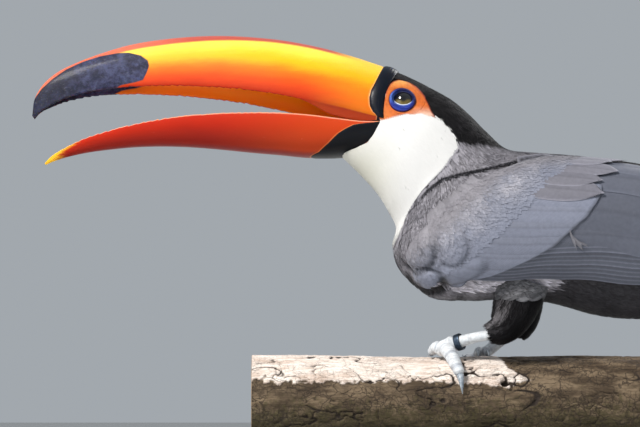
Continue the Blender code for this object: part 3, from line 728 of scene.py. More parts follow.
def horn(name, recipe):
    """Light horn that lets the glow of the light through, under a faint polish."""
    glow = {"Subsurface_Weight": 0.35, "Subsurface_Radius": (1.0, 0.32, 0.06), "Subsurface_Scale": 0.004}
    return paint(name, recipe, Specular_IOR_Level=0.12, Coat_Weight=0.04, Coat_Roughness=0.12, **glow)


bill_half("bill_upper_horn", BILL_UPPER, 2.3, 0.42, upper_fold, CUSHION_BACK, upper_relief,
          horn("upper_horn", upper_horn), ["bill_upper"], 31)
bill_half("bill_lower_horn", BILL_LOWER, 2.1, 0.62, lambda t: 0.0 * t, PATCH_BACK, lower_relief,
          horn("lower_horn", lower_horn), ["bill_lower"], 47)

# ---------------------------------------------------------------- the skin
# One skin from the corner of the mouth to the root of the tail, with the thighs and the bare scaly legs.
# It is orange and bare round the eye, where a thick blue ring of folded skin forms the lids.

# The body from the front of the head to the tail's end. Each row is one slanting section: back x, back z,
# belly x, belly z, half width, and the exponent of the section's superellipse.
BODY = (
    (-73.0, 271.0, -100.5, 222.0, 19.6, 2.3),
    (-60.5, 265.5, -93.0, 214.5, 20.6, 2.2),
    (-49.0, 259.5, -85.5, 206.5, 21.6, 2.1),
    (-38.0, 253.0, -79.0, 198.5, 22.4, 2.1),
    (-28.0, 244.5, -74.0, 190.5, 23.2, 2.1),
    (-18.5, 235.0, -69.5, 181.5, 25.5, 2.1),
    (-7.5, 226.0, -71.5, 171.0, 31.0, 2.2),
    (7.0, 224.0, -66.5, 157.0, 36.0, 2.2),
    (23.0, 223.0, -50.5, 143.5, 38.5, 2.2),
    (39.0, 221.5, -28.0, 141.0, 39.0, 2.2),
    (56.0, 219.5, -5.5, 142.0, 38.0, 2.2),
    (73.0, 216.5, 18.0, 139.5, 35.5, 2.2),
    (94.0, 210.5, 45.0, 132.5, 31.0, 2.2),
    (113.0, 203.5, 72.0, 131.0, 25.5, 2.2),
    (129.0, 196.0, 98.0, 135.5, 20.0, 2.2),
    (141.0, 193.0, 123.0, 139.0, 16.5, 2.3),
    (152.2, 181.0, 147.8, 147.0, 16.5, 2.3),
    (168.0, 170.0, 168.0, 151.0, 17.5, 2.3),
    (192.0, 161.2, 192.0, 150.8, 20.0, 2.3),
    (222.0, 153.7, 222.0, 147.3, 23.0, 2.3),
    (250.0, 147.5, 250.0, 143.5, 24.5, 2.3),
    (266.0, 143.8, 266.0, 141.2, 22.5, 2.3),
    (273.0, 142.2, 273.0, 140.4, 17.5, 2.3),
)
ROLL_FADES = (2.5, 7.0)  # rows over which the neck takes up the head's roll
LAST_ROW = len(BODY) - 1
SURFACE_ROWS, SURFACE_ANGLES = 880, 540  # points of the grid that a surface is looked up in


class Surface:
    """The body, or the bed of a wing, looked up at a row t and an angle from the ridge of the back, round by
    the left side. The angle draws a superellipse between the back and the belly of the section, and relief
    is a height over it."""

    def __init__(self, rows, relief=None, side=1):
        self.end, self.side = len(rows) - 1, side
        self.t_scale, self.angle_scale = (SURFACE_ROWS - 1) / self.end, SURFACE_ANGLES / (2 * math.pi)
        t, angle = np.linspace(0, self.end, SURFACE_ROWS), np.linspace(0, 2 * math.pi, SURFACE_ANGLES + 1)
        self.t, self.angle = np.broadcast_arrays(t[:, None], angle)
        row = smooth(rows, self.t)
        s, c = superellipse(self.angle, row[..., 5])
        back, belly = row[..., 0:2], row[..., 2:4]
        spot = (back + belly) / 2 + (back - belly) / 2 * c[..., None]
        self.own = vectors(spot[..., 0], -side * row[..., 4] * s, spot[..., 1])
        self.place = rolled(self.own, fade(self.t, *ROLL_FADES))
        along, across = self.face()
        if relief:
            height = relief(self.t, self.own[..., 0], self.own[..., 2], np.abs(s))
            self.place = self.place + self.normal * height[..., None]
            along, across = self.face()
        t_size, angle_size = np.linalg.norm(along, axis=-1), np.linalg.norm(across, axis=-1)
        self.size = vectors(t_size * self.t_scale, angle_size * self.angle_scale)

    def face(self):
        """Works out the normals, the cross product of the steps across and along, and returns the steps."""
        along = np.gradient(self.place, axis=0)
        across = np.gradient(self.place[:, :-1], axis=1)
        across[:, 0] = (self.place[:, 1] - self.place[:, -2]) / 2
        across = np.concatenate([across, across[:, :1]], axis=1)
        self.normal = unit(self.side * np.cross(across, along))
        return along, across

    def look_up(self, grid, t, angle):
        """A grid of the surface at any t and angle, blended from its four nearest values."""
        row = np.clip(np.asarray(t, float), 0, self.end - 1e-6) * self.t_scale
        column = np.mod(np.asarray(angle, float), 2 * math.pi - 1e-9) * self.angle_scale
        i, j = row.astype(int), column.astype(int)
        a, b = (row - i)[..., None], (column - j)[..., None]
        low = grid[i, j] * (1 - b) + grid[i, j + 1] * b
        return low * (1 - a) + (grid[i + 1, j] * (1 - b) + grid[i + 1, j + 1] * b) * a

    def at(self, t, angle, height=0.0):
        """Points at that height over the surface."""
        normal = self.look_up(self.normal, t, angle)
        return self.look_up(self.place, t, angle) + normal * np.asarray(height, float)[..., None]

    def side_view(self, t, angle):
        """x and z on the animal's own side view, before the head is rolled."""
        own = self.look_up(self.own, t, angle)
        return own[..., 0], own[..., 2]

    def light(self, t, angle):
        """How light the plumage is painted there: painted shade darkens it in the folds."""
        return 1 - 0.85 * folded(*self.side_view(t, angle))[1]

    def sizes(self, t, angle):
        """Millimetres that one row and one radian take there."""
        size = self.look_up(self.size, t, angle)
        return size[..., 0], size[..., 1]


# Swellings of the plumage where the folded wing's wrist lifts the breast feathers, on the side view: centre
# x, centre z, half length, half height, slant in degrees, rise, depth and width of the crease round it. The
# crease's depth also sets the painted shade in it.
SWELLINGS = (
    (-52.8, 153.9, 8.8, 6.0, -14.0, 3.0, 3.2, 0.26),
    (-46.5, 144.4, 12.0, 4.4, -8.0, 1.8, 1.0, 0.15),
    (-57.5, 170.0, 11.0, 11.0, 0.0, 2.8, 0.9, 0.11),
    (-38.5, 171.0, 8.5, 9.5, 20.0, 1.3, 0.5, 0.11),
    (-33.5, 158.5, 13.0, 4.5, 18.0, 0.9, 0.5, 0.11),
)
# Edge of the mantle's feathers over the wing's, on the side view: x, z.
MANTLE_EDGE = ((-60.3, 192.0), (-52.4, 199.9), (-44.6, 206.0), (-34.0, 209.6), (-24.6, 212.1), (-8.9, 216.4),
               (5.0, 220.6), (19.0, 222.2))
# Folds between the masses of feathers, on the side view: width, depth, which also sets their painted shade,
# then the points of a line.
FOLDS = (
    (0.8, 1.1, (-66.0, 159.5), (-59.0, 161.5), (-52.5, 161.0), (-46.5, 158.8), (-41.0, 156.5)),
    (0.8, 0.7, (-55.0, 173.5), (-52.2, 168.5), (-51.0, 162.5)),
    (0.8, 0.7, (-49.5, 175.0), (-47.2, 169.0), (-48.0, 162.0)),
    (0.8, 0.6, (-44.5, 172.0), (-42.6, 166.0), (-44.5, 159.5)),
    (0.8, 0.35, (-62.0, 176.0), (-61.0, 171.0), (-58.0, 166.5)),
    (0.7, 0.4, (-40.0, 182.0), (-38.0, 176.0), (-38.5, 168.0)),
    (0.9, 1.0, (-62.5, 154.5), (-60.5, 149.8), (-55.0, 147.0), (-48.5, 148.2), (-44.6, 152.6)),
    (0.7, 0.5, (-61.0, 146.0), (-54.0, 141.6), (-44.0, 141.0), (-35.5, 143.5)),
)
PAST_EDGE = 99.0


def over_mantle_edge(x, z):
    """Distance above the mantle's edge, negative below it and PAST_EDGE beyond its ends."""
    distance = (z - table_at(MANTLE_EDGE, x)) * 0.9
    return np.where((x > -60.5) & (x < 19.0), distance, PAST_EDGE)


def folded(x, z):
    """Height that the folds, the swellings and the mantle's edge add, and how dark each place is painted,
    from 0 to 1: painted shade under the mantle's edge, along the folds and in the crescents below the
    swellings. Each of them is a bell curve of the distance from its line."""
    edge = over_mantle_edge(x, z)
    ease = fade(-x, 52.0, 60.0) * fade(x, 8.0, 19.0)
    height = np.where(edge > 0, 0.75 * hump(edge, 4.5), -0.45 * hump(edge, 2.5)) * ease
    dark = np.where(edge > 0, 0.0, hump(edge, 0.75)) * ease
    for width, depth, *line in FOLDS:
        away, share = np.full(np.shape(x), 1e9), 0.0 * x
        for k, (start, end) in enumerate(zip(line[:-1], line[1:])):
            along, here = from_side_line(x, z, start, end)
            share = np.where(here < away, (k + along) / (len(line) - 1), share)
            away = np.minimum(away, here)
        taper = np.sin(math.pi * (0.08 + 0.84 * share))
        height = height - depth * taper * hump(away, width)
        dark = np.maximum(dark, taper * depth * hump(away, 0.7 * width))
    for centre_x, centre_z, half_length, half_height, slant, rise, crease, wide in SWELLINGS:
        turn = math.radians(slant)
        u = ((x - centre_x) * math.cos(turn) + (z - centre_z) * math.sin(turn)) / half_length
        v = ((z - centre_z) * math.cos(turn) - (x - centre_x) * math.sin(turn)) / half_height
        out = np.hypot(u, v)
        below = np.clip(0.40 + (0.35 * u - 0.70 * v) / np.maximum(out, 0.1), 0, 1)
        crescent = crease * below * hump(out - 0.95 - wide, wide)
        height = height + rise * np.sqrt(np.clip(1 - out**2, 0, 1)) - crescent
        dark = np.maximum(dark, crescent)
    return height, np.clip(dark, 0, 1)


def breast_form(t, x, z, across):
    """Height of the folds and of a soft unevenness of the breast, on both sides of its middle line."""
    ruffle = 0.22 * wobble(vectors(x, z, 0), 6.0, 55) * (1 - fade(t, 5.5, 7.0))
    return (folded(x, z)[0] + ruffle) * np.clip(across * 2.5, 0, 1)


body = Surface(BODY, breast_form)


def outline(*places):
    """A closed outline on the side view, through places given as a row, an angle in degrees and, if need be,
    how many millimetres out beyond the body they lie: below it past 150 degrees, above it before."""
    t, angle, out = np.array([(*place, 0.0)[:3] for place in places]).T
    x, z = body.side_view(t, np.radians(angle))
    out = out * np.where(angle > 150.0, -1.0, 1.0)
    return vectors(x + 0.8 * out, z + out)


# Outlines of the markings on the left side; the right side has the same.
ORANGE = outline(
    (0.28, 99), (0.42, 84), (0.61, 74.5), (0.49, 66), (0.47, 56), (0.54, 47.8), (0.66, 40.2), (0.89, 35.5),
    (1.17, 34.8), (1.57, 38.5), (1.99, 44.5), (2.39, 52), (2.74, 58.6), (3.06, 61.5), (2.9, 64), (2.38, 67.8),
    (2.19, 73.5), (1.87, 77.8), (1.46, 87.2), (1.14, 94.0), (0.6, 99),
)
BIB = outline(
    (0.0, 70), (1.5, 66), (2.97, 61), (3.06, 60.3), (3.72, 60.5), (4.37, 61.8), (4.60, 65.5), (4.66, 74.8),
    (4.71, 81.2), (4.75, 90.5), (4.75, 111.2), (4.87, 139.3), (5.59, 152.0), (5.95, 179.5), (5.7, 179.9, 3.0),
    (4.5, 179.9, 5.0), (3.0, 179.9, 5.0), (1.5, 179.9, 5.0), (0.0, 179.9, 5.0),
)
RUMP = outline((11.6, 0.1, 8.0), (12.0, 50), (12.8, 66), (14.2, 66), (15.6, 40), (16.3, 0.1, 8.0))
# The red crissum begins far back; in front of it the plumage is painted black instead of red, as painted
# shade under the tail.
CRISSUM = outline((12.9, 179.9), (12.75, 149), (13.1, 132), (14.5, 118), (16.6, 120), (17.3, 179.9, 8.0),
                  (13.8, 179.9, 8.0))
EYE_CENTRE, EYE_RADIUS = np.array((-65.7, 12.5, 248.3)), 7.5
APERTURE_CENTRE, APERTURE_SIZE = (-65.7, 249.6), (5.3, 3.8)
RING_CENTRE, RING_RADIUS = (-66.0, 248.3), 7.5
PATCH_CENTRE, PATCH_SIZE = (-64.3, 250.4), (11.6, 11.0)


def markings(t, angle):
    """x and z of each place on the side view, and how many millimetres it is inside the orange skin, the
    white bib, the white rump and the red crissum there. The throat's middle line is all bib."""
    x, z = body.side_view(t, angle)
    marks = {"x": x, "z": z, "orange": depth_inside(x, z, ORANGE), "bib": depth_inside(x, z, BIB)}
    marks |= {"rump": depth_inside(x, z, RUMP), "crissum": depth_inside(x, z, CRISSUM)}
    throat = np.where((np.cos(angle) < 0) & (t < 5.9), 3.0, -3.0)
    marks["bib"] = np.where(np.abs(np.sin(angle)) < 0.02, throat, marks["bib"])
    return marks


def blended(share, first, second):
    """The first colour where share is 0 and the second where it is 1."""
    share = np.clip(share, 0, 1)[..., None]
    return np.asarray(first) * (1 - share) + np.asarray(second) * share


# Painted sheen: the plumage is black, and these greys stand for the light that its glossy feathers catch.
PAINTED_SHEEN_DARK, PAINTED_SHEEN_PALE = (0.195, 0.189, 0.218), (0.345, 0.334, 0.376)


def feather_colour(t, angle, marks):
    """Colour of the plumage: glossy black head and nape with a painted gloss highlight along the ridge, a
    black body painted grey as the sheen of light on it, which gives way to black below where shade falls,
    white bib with a creamy front that is painted darker as shade, white rump, red crissum."""
    x, z = marks["x"], marks["z"]
    from_below, spot = -np.abs(angle - math.pi), vectors(x, z, 0)
    cloud, fine = wobble(spot, 9.0, 61), wobble(spot, 2.4, 62)
    grey = blended(0.5 + 0.35 * cloud + 0.3 * fine, PAINTED_SHEEN_DARK, PAINTED_SHEEN_PALE)
    nape = np.maximum(fade(t, 5.6, 6.6) * (1 - fade(z + 1.2 * fine, 225.2, 227.2)), fade(t, 3.2, 4.2))
    black = blended(nape, grey, (0.008, 0.0075, 0.009))
    # Painted highlight: the nape is painted lighter along the ridge for the gloss of its feathers.
    painted_gloss = nape * fade(from_below, -2.6, -2.0)
    black = blended(0.35 * painted_gloss * (0.5 + fine), black, (0.06, 0.055, 0.06))
    # Painted shade: low on the body and under the wing, the painted sheen gives way to black where shade
    # falls; the rear of the back's ridge is black too.
    under = fade(z, np.interp(x, (0.0, 30.0), (136.0, 150.0)), np.interp(x, (0.0, 30.0), (145.0, 172.0)))
    under = np.maximum(under, (1 - fade(x, 12.0, 30.0)) * fade(from_below, -2.75, -2.55))
    black = blended(0.85 * under, black, (0.020, 0.019, 0.022))
    # The bib's front is painted a darker cream: partly its own creamy tint, partly painted shade.
    front = fade(x, -95.0, -62.0) * fade(z, 205.0, 240.0)
    white = blended(0.8 * front, (0.73, 0.73, 0.73), (0.52, 0.515, 0.41))
    colour = blended((marks["bib"] + 0.4 * cloud) * 1.4 + 0.5, black, white)
    colour = blended(marks["rump"] * 0.6 + 0.5, colour, (0.82, 0.82, 0.80))
    return blended((marks["crissum"] + cloud) * 0.6 + 0.5, colour, (0.52, 0.035, 0.020))


def coat_depth(t, marks):
    """How deep the skin lies under the coat: least on the face."""
    depth = np.interp(t, (0, 2, 4, 6, 8, 13, 16, 22), (1.2, 1.6, 2.2, 3.0, 4.0, 3.6, 2.0, 0.8))
    depth = depth * (1 - 0.72 * np.clip(marks["bib"] / 3, 0, 1))
    return depth + (0.25 - depth) * np.clip((marks["orange"] + 1.4) / 1.6, 0, 1)


# Front edge of the skin on the side view: the back of the bill's black patch, then 2 mm under the cushion.
FRONT_Z = (220.9, 221.9, 224.5, 228.5, 235.2, 236.6, 238.0, 248.3, 255.1, 260.8, 270.6)
FRONT_X = (-102.6, -93.7, -86.0, -82.6, -79.0, -78.6, -79.1, -79.0, -77.3, -75.2, -71.5)


def skin_start(angle):
    """The first row of the skin at each angle: where the body's side view meets the base of the bill."""
    t = np.linspace(0, 2.4, 481)[:, None]
    x, z = body.side_view(t + 0 * angle, angle + 0 * t)
    behind = x > np.interp(z, FRONT_Z, FRONT_X)
    return t[np.argmax(behind, axis=0), 0]


def skin_tint(t, angle, marks):
    """Colour of the skin: the plumage's, or orange round the eye with a blue ring."""
    x, z = marks["x"], marks["z"]
    cloud = wobble(vectors(x, z, 0), 5.0, 71)
    orange = blended(0.5 + 0.5 * cloud, (0.60, 0.125, 0.018), (0.72, 0.185, 0.030))
    # Painted highlight: the orange turns pale yellow-orange towards the upper front of the patch.
    orange = blended((1 - fade(z, 255.0, 264.0)) * fade(x, -66.0, -58.0), orange, (0.92, 0.50, 0.14))
    orange = blended(fade(z, 238.0, 246.0) * (1 - fade(x, -66.0, -52.0)), orange, (0.86, 0.62, 0.50))
    colour = feather_colour(t, angle, marks)
    colour = blended((marks["orange"] + 0.3 * cloud + 0.3) * 1.6, colour, orange)
    line = hump(marks["orange"] - 0.2, 0.5) * (marks["bib"] < 1)
    return blended(0.75 * line, colour, (0.30, 0.03, 0.02))


SKIN_COLUMNS, SKIN_END = 240, 17.5
skin_share = np.interp(np.arange(180), (0, 69, 118, 179), (0, 0.2, 0.42, 1))  # closest on the face
first_row = skin_start(circle(SKIN_COLUMNS))
skin_t = first_row + (SKIN_END - first_row) * skin_share[:, None]
skin_angle = circle(SKIN_COLUMNS) + 0 * skin_t
skin_marks = markings(skin_t, skin_angle)
from_eye_x, from_eye_z = skin_marks["x"] - PATCH_CENTRE[0], skin_marks["z"] - PATCH_CENTRE[1]
from_eye = np.hypot(from_eye_x / PATCH_SIZE[0], from_eye_z / PATCH_SIZE[1])
socket = 6.0 * fade(from_eye, 0.62, 0.95) + 0.25 * fade(from_eye, 0.9, 1.02)
skin_points = body.at(skin_t, skin_angle, -coat_depth(skin_t, skin_marks) - socket)
skin_colour = skin_tint(skin_t, skin_angle, skin_marks)


def drawn_in(ring, middle, shares):
    """Rings between a ring and its middle, at these shares of its reach."""
    return middle + (ring - middle) * np.array(shares)[:, None, None]


# The mouth is closed by a dark red funnel, and the tail's root by a blunt end.
throat = drawn_in(skin_points[0], rolled(np.array((-66.0, 0.0, 238.0))), np.linspace(0.05, 0.8, 6))
tail_end = drawn_in(skin_points[-1], skin_points[-1].mean(axis=0), (0.75, 0.4, 0.08)) + (1.0, 0, 0)
throat_colour = np.full(throat.shape, (0.25, 0.03, 0.02))
skin_points = np.concatenate([throat, skin_points, tail_end])
skin_colour = np.concatenate([throat_colour, skin_colour, np.repeat(skin_colour[-1:], 3, axis=0)])
skin_parts = []  # points, face arrays and tint of each grid that the skin is joined from


def closed_grid(points, tint):
    """Adds a grid closed round its columns, with a cap at both ends, to the skin."""
    faces = facing_out(points, tube_faces(*points.shape[:2]))
    skin_parts.append((points.reshape(-1, 3), faces, np.broadcast_to(tint, points.shape).reshape(-1, 3)))


closed_grid(skin_points, skin_colour)


def place_on_side_view(x, z):
    """The row and angle whose side view is (x, z): Newton's method from a guess by the eye."""
    t, angle, step = np.full(np.shape(x), 1.4), np.full(np.shape(x), math.radians(65.0)), 1e-3
    for _ in range(12):
        x0, z0 = body.side_view(t, angle)
        x1, z1 = body.side_view(t + step, angle)
        x2, z2 = body.side_view(t, angle + step)
        a, b, c, d = (x1 - x0) / step, (x2 - x0) / step, (z1 - z0) / step, (z2 - z0) / step
        inverse = 1 / (a * d - b * c)
        miss_x, miss_z = x - x0, z - z0
        t = np.clip(t + (d * miss_x - b * miss_z) * inverse, 0.05, 4.0)
        angle = np.clip(angle + (a * miss_z - c * miss_x) * inverse, 0.2, 2.2)
    return t, angle


def orbit(side):
    """The lids, blue ring and bare skin round one eye, on a polar grid whose share runs from the eyeball over
    the wet rim at 0 and the swollen ring with its folds, to the orange skin from 1 on, where the grid dips
    under the rest at 2."""
    turn = circle(150)[None]
    share = np.concatenate([[-0.16, -0.08], np.linspace(0, 1, 36), 1 + np.linspace(0, 1, 34)[1:]])[:, None]
    c, s = np.cos(turn), np.sin(turn)
    rim_x = APERTURE_CENTRE[0] + APERTURE_SIZE[0] * c
    rim_z = APERTURE_CENTRE[1] + APERTURE_SIZE[1] * np.sign(s) * np.abs(s) ** 1.15
    egg = 1 + 0.04 * s - 0.03 * np.cos(turn + 0.9)
    ring_x = RING_CENTRE[0] + RING_RADIUS * c * egg - 0.5 * (s < 0) * np.abs(s)
    ring_z = RING_CENTRE[1] + RING_RADIUS * s * egg
    edge_x = PATCH_CENTRE[0] + PATCH_SIZE[0] * c
    edge_z = PATCH_CENTRE[1] + PATCH_SIZE[1] * s
    inner, outer = np.clip(share, -1, 1), np.clip(share - 1, 0, 1)
    x = rim_x + (ring_x - rim_x) * inner + (edge_x - ring_x) * outer
    z = rim_z + (ring_z - rim_z) * inner + (edge_z - ring_z) * outer
    t, angle = place_on_side_view(x, z)
    spot = vectors(x, z, 0)
    ball = EYE_RADIUS**2 - (x - EYE_CENTRE[0]) ** 2 - (z - EYE_CENTRE[2]) ** 2
    ball = EYE_CENTRE[1] + np.sqrt(np.maximum(ball, 0.0))
    skin = -body.look_up(body.own, t, angle)[..., 1]
    lid = ball + 0.05 + 0.55 * (1 - np.exp(-np.clip(inner, 0, 1) / 0.07))
    folds = 0.16 * np.sin(2 * math.pi * (3.4 * inner + 0.25 * np.sin(3 * turn + 1)) + 1.2)
    folds = folds * np.sin(math.pi * inner) ** 0.5 + 0.08 * wobble(vectors(9 * c, 9 * s, 3 * share), 1.0, 81)
    swell = skin + 1.25 * np.sin(math.pi * np.clip(inner, 0, 1)) ** 0.6 + folds * (inner > 0)
    blend = fade(inner, 0.05, 0.45)
    y = np.where(share <= 0, ball + 0.05 + share * 3.5, lid * blend + swell * (1 - blend))
    pebbles = 0.10 * wobble(spot, 1.1, 83) + 0.12 * wobble(spot * (1, 0.5, 1), 2.2, 84)
    bare = skin - 0.18 - 0.35 * np.exp(-outer / 0.06) + pebbles - 0.45 * (1 - fade(outer, 0.86, 1.0))
    at_ring = fade(inner, 0.9, 1.02)
    y = np.where(share > 1, bare, y * at_ring + (skin - 0.5) * (1 - at_ring))
    points = rolled(vectors(x, side * y, z))
    blue = blended(0.5 + 0.5 * wobble(spot, 1.6, 85), (0.010, 0.022, 0.22), (0.016, 0.045, 0.38))
    # Painted highlight: the ring is painted a paler blue at its upper front; it is also paler towards the
    # lids.
    pale = fade(x, -74.0, -68.0) * fade(-z, -250.0, -245.0) + 0.5 * fade(inner, 0.1, 0.35)
    blue = blended(pale * 0.7, blue, (0.10, 0.22, 0.62))
    blue = blended(0.85 * fade(-c * 0.8 - s, -0.9, 0.35), blue, (0.006, 0.006, 0.045))
    blue = blended(1 - fade(inner, 0.82, 1.0), blue, (0.045, 0.006, 0.035))
    # Painted highlight: a bluish white glint of the tear film along the lower lid.
    wet = hump(inner - 0.02, 0.06) * fade(z, 247.5, 250.5) * fade(x, -62.5, -60.5)
    blue = blended(wet * 0.95, blue, (0.80, 0.86, 0.95))
    blue = blended(hump(inner, 0.10) * (1 - fade(z, 248.5, 251.0)), blue, (0.01, 0.008, 0.03))
    tint = np.where((share <= 1)[..., None], blue, skin_tint(t, angle, markings(t, angle)))
    faces = grid_faces(*points.shape[:2], closed=True)[:, ::-side]
    skin_parts.append((points.reshape(-1, 3), [faces], tint.reshape(-1, 3)))


orbit(-1)
orbit(1)

# Feathered thigh, of the left leg: centre x, centre z, half length along the body, half width across it.
THIGH = (
    (0.5, 152.0, 14.0, 12.0),
    (-3.0, 139.5, 13.2, 12.5),
    (-7.0, 130.5, 11.2, 11.0),
    (-12.0, 124.9, 8.8, 8.6),
    (-17.2, 122.8, 6.2, 5.6),
)
THIGH_Y, THIGH_SHIFT = 19.5, {"left": (0.0, 0.0), "right": (15.0, 1.5)}  # of the lower end: x, z


def thigh_surface(side_name, side, t, angle, height):
    """A bent tube: ellipses square to the thigh's centre line, at that height over its feathers."""
    steps, across = 60, np.array((0.0, 1.0, 0.0))
    rows = smooth(THIGH, np.linspace(0, len(THIGH) - 1, steps))
    rows[:, 0:2] += np.linspace(0, 1, steps)[:, None] * THIGH_SHIFT[side_name]
    path = vectors(rows[:, 0], side * THIGH_Y, rows[:, 1])
    front = np.cross(unit(np.gradient(path, axis=0)), across)
    table = np.concatenate([path, front, rows[:, 2:4]], axis=1)
    row = smooth(table, np.clip(np.asarray(t, float), 0, 1) * (steps - 1))
    centre, front = row[..., 0:3], row[..., 3:6]
    height = np.asarray(height, float)[..., None]
    centre = centre + np.cos(angle)[..., None] * front * (row[..., 6:7] + height)
    return centre + np.sin(angle)[..., None] * across * (row[..., 7:8] + height)


SHANK_RADIUS, PAD_RADIUS, CLEAR = 2.9, 4.6, 0.4
# Each foot: its side, its pad's x and degrees round the log from the top towards that side, and its heel.
FEET = {
    "left": {"side": -1, "pad": (-43.5, 13.0), "heel": (-17.0, -19.5, 122.2)},
    "right": {"side": 1, "pad": (-24.0, 42.0), "heel": (-2.0, 20.5, 123.5)},
}
# Each toe, from its foot's pad: steps (x, degrees, radius), then the claw's tip (x, degrees).
TOES = {
    1: {"path": ((0.5, -3.0, 3.4), (1.5, -19.0, 3.0), (1.0, -31.0, 2.3)), "claw": (0.5, -47.0)},
    2: {"path": ((-1.0, 0.0, 4.2), (-3.6, -4.0, 3.5), (-6.4, -12.0, 2.5)), "claw": (-8.2, -27.0)},
    3: {"path": ((1.0, 1.0, 4.3), (4.0, 19.5, 4.05), (9.0, 42.0, 3.1)), "claw": (10.2, 62.0)},
    4: {"path": ((1.2, -2.0, 3.6), (4.2, -17.0, 3.1), (6.3, -31.0, 2.5)), "claw": (6.2, -53.0)},
}


def on_log(x, degrees, height):
    """A point at that height over the bark, with the angle positive towards -Y."""
    angle = np.radians(degrees)
    reach = log_radius(x, angle) + height
    return vectors(x, -reach * np.sin(angle), LOG_AXIS_Z + reach * np.cos(angle))


def tube(path, radii, sides, relief):
    """A round tube along a path: circles square to it, each point moved out by relief."""
    tangent = unit(np.gradient(path, axis=0))
    across = unit(np.cross(tangent, (0.0, 0.0, 1.0)))
    up = np.cross(across, tangent)
    angle = circle(sides)[None, :, None]
    radii = radii[:, None, None] + relief[..., None]
    return path[:, None] + (np.cos(angle) * across[:, None] + np.sin(angle) * up[:, None]) * radii


def on_foot(foot, x, degrees, height):
    """A point over the bark, measured from the foot's pad and towards the animal's outer side."""
    pad_x, pad_angle = foot["pad"]
    return on_log(pad_x + x, -foot["side"] * (pad_angle + degrees), height)


def shank_ends(foot):
    """The middle of the pad, and how far the heel is from it."""
    centre = on_foot(foot, np.array(0.0), 0.0, PAD_RADIUS + CLEAR + 0.8)
    return centre, np.linalg.norm(foot["heel"] - centre)


def shank_path(foot, away):
    """The shank's centre line at distances from the pad towards the heel: straight but for a slight rise."""
    centre, reach = shank_ends(foot)
    share = (away / reach)[:, None]
    return centre + (foot["heel"] - centre) * share + (0, 0, 1.2) * np.sin(share * math.pi)


def scutes(length, sides, size, depth):
    """Relief of plates along a leg: a rise and a quick drop every size mm on its upper side, pebbles
    below."""
    angle, length = circle(sides), length[:, None]
    uneven = 0.22 * np.sin(length * 2.3) + 0.22 * wobble(length[..., None] * (1.0, 0.3, 0.2), 2.0, 92)
    phase = length / size + 0.16 * np.sin(2 * angle + 1) + uneven
    step = phase - np.floor(phase)
    plates = np.minimum(step / 0.75, (1 - step) / 0.25) - 0.6
    pebbles = 0.8 * wobble(vectors(length, 4 * np.cos(angle), 4 * np.sin(angle)), 1.3, 91)
    front = fade(-np.sin(angle), 0.0, 0.7)
    return depth * (plates * front + pebbles * (1 - 0.6 * front))


def scaly(relief):
    """Pale blue-grey of the legs, painted darker in the grooves as shade."""
    return blended(0.78 + relief * 2.4, (0.30, 0.34, 0.42), (0.86, 0.90, 0.93))


def leg(foot):
    """Bare shank, pad and four toes, from the same centre lines and radii as the solids."""
    centre, reach = shank_ends(foot)
    away = np.linspace(0.5, reach, 90)
    radii = SHANK_RADIUS + 1.3 * fade(away, 5.0, 8.5) + 0.5 * fade(away, 10.0, 22.0)
    radii = radii + 0.6 * hump(away - 6.2, 1.7)
    relief = scutes(away, 32, 3.6, 0.10)
    closed_grid(tube(shank_path(foot, away), radii - 0.1, 32, relief), scaly(relief))
    latitude, longitude = np.linspace(0.04, math.pi - 0.04, 26)[:, None], circle(36)
    level = np.sin(latitude)
    ball = vectors(level * np.cos(longitude), level * np.sin(longitude), np.cos(latitude))
    pebbles = 0.16 * wobble(ball * PAD_RADIUS, 1.2, 93)
    closed_grid(centre + ball * (PAD_RADIUS - 0.1 + pebbles[..., None]), scaly(pebbles))
    for toe in TOES.values():
        share = np.linspace(0, 1, 80)
        x, degrees, radii = smooth(toe["path"], 2 * share).T
        arch = 1.6 * np.sin(share * math.pi) + 1.2 * (1 - share)
        line = on_foot(foot, x, degrees, radii + CLEAR + arch)
        length = np.concatenate([[0], np.cumsum(np.linalg.norm(np.diff(line, axis=0), axis=1))])
        joints = -0.16 * hump((length / length[-1] * 3) % 1 - 0.5, 0.09)
        relief = scutes(length, 28, 1.7, 0.13) + joints[:, None]
        blunt = radii * np.sqrt(np.clip(1 - ((share - 0.93) / 0.08).clip(0, 1) ** 2, 0.02, 1))
        closed_grid(tube(line, blunt - 0.15, 28, relief), scaly(relief))


for side_name, foot in FEET.items():
    leg(foot)
    thigh_t, thigh_angle = np.broadcast_arrays(np.linspace(0, 0.97, 24)[:, None], circle(28))
    thigh_points = thigh_surface(side_name, foot["side"], thigh_t, thigh_angle, -2.4 + 1.4 * thigh_t)
    closed_grid(thigh_points, (0.03, 0.03, 0.033))


def bare_skin(place):
    """Fine pebbles and creases in the skin, whose colour is the piece's own tint, painted darker in the low
    creases as shade.
    """
    pebbles = place.cells(0.55).step(0.0, 0.5)
    creases = place.noise(2.5, 4.0, 0.6)
    # Painted shade: the low creases are painted darker.
    colour = (creases.step(0.62, 0.3) * 0.35).mix(tint_of(place), (0.35, 0.3, 0.3), "MULTIPLY")
    relief = pebbles * 0.5 + creases
    return {"Base Color": colour, "Roughness": 0.34 + 0.25 * creases, "Normal": relief.bump(0.18)}


def joined(parts):
    """Joins parts into one. Each has its points, a list of face arrays, and arrays held point by point."""
    faces, offset = [], 0
    for points, groups, *_ in parts:
        faces += [group + offset for group in groups]
        offset += len(points)
    points, _, *held = zip(*parts)
    return np.concatenate(points), faces, *map(np.concatenate, held)


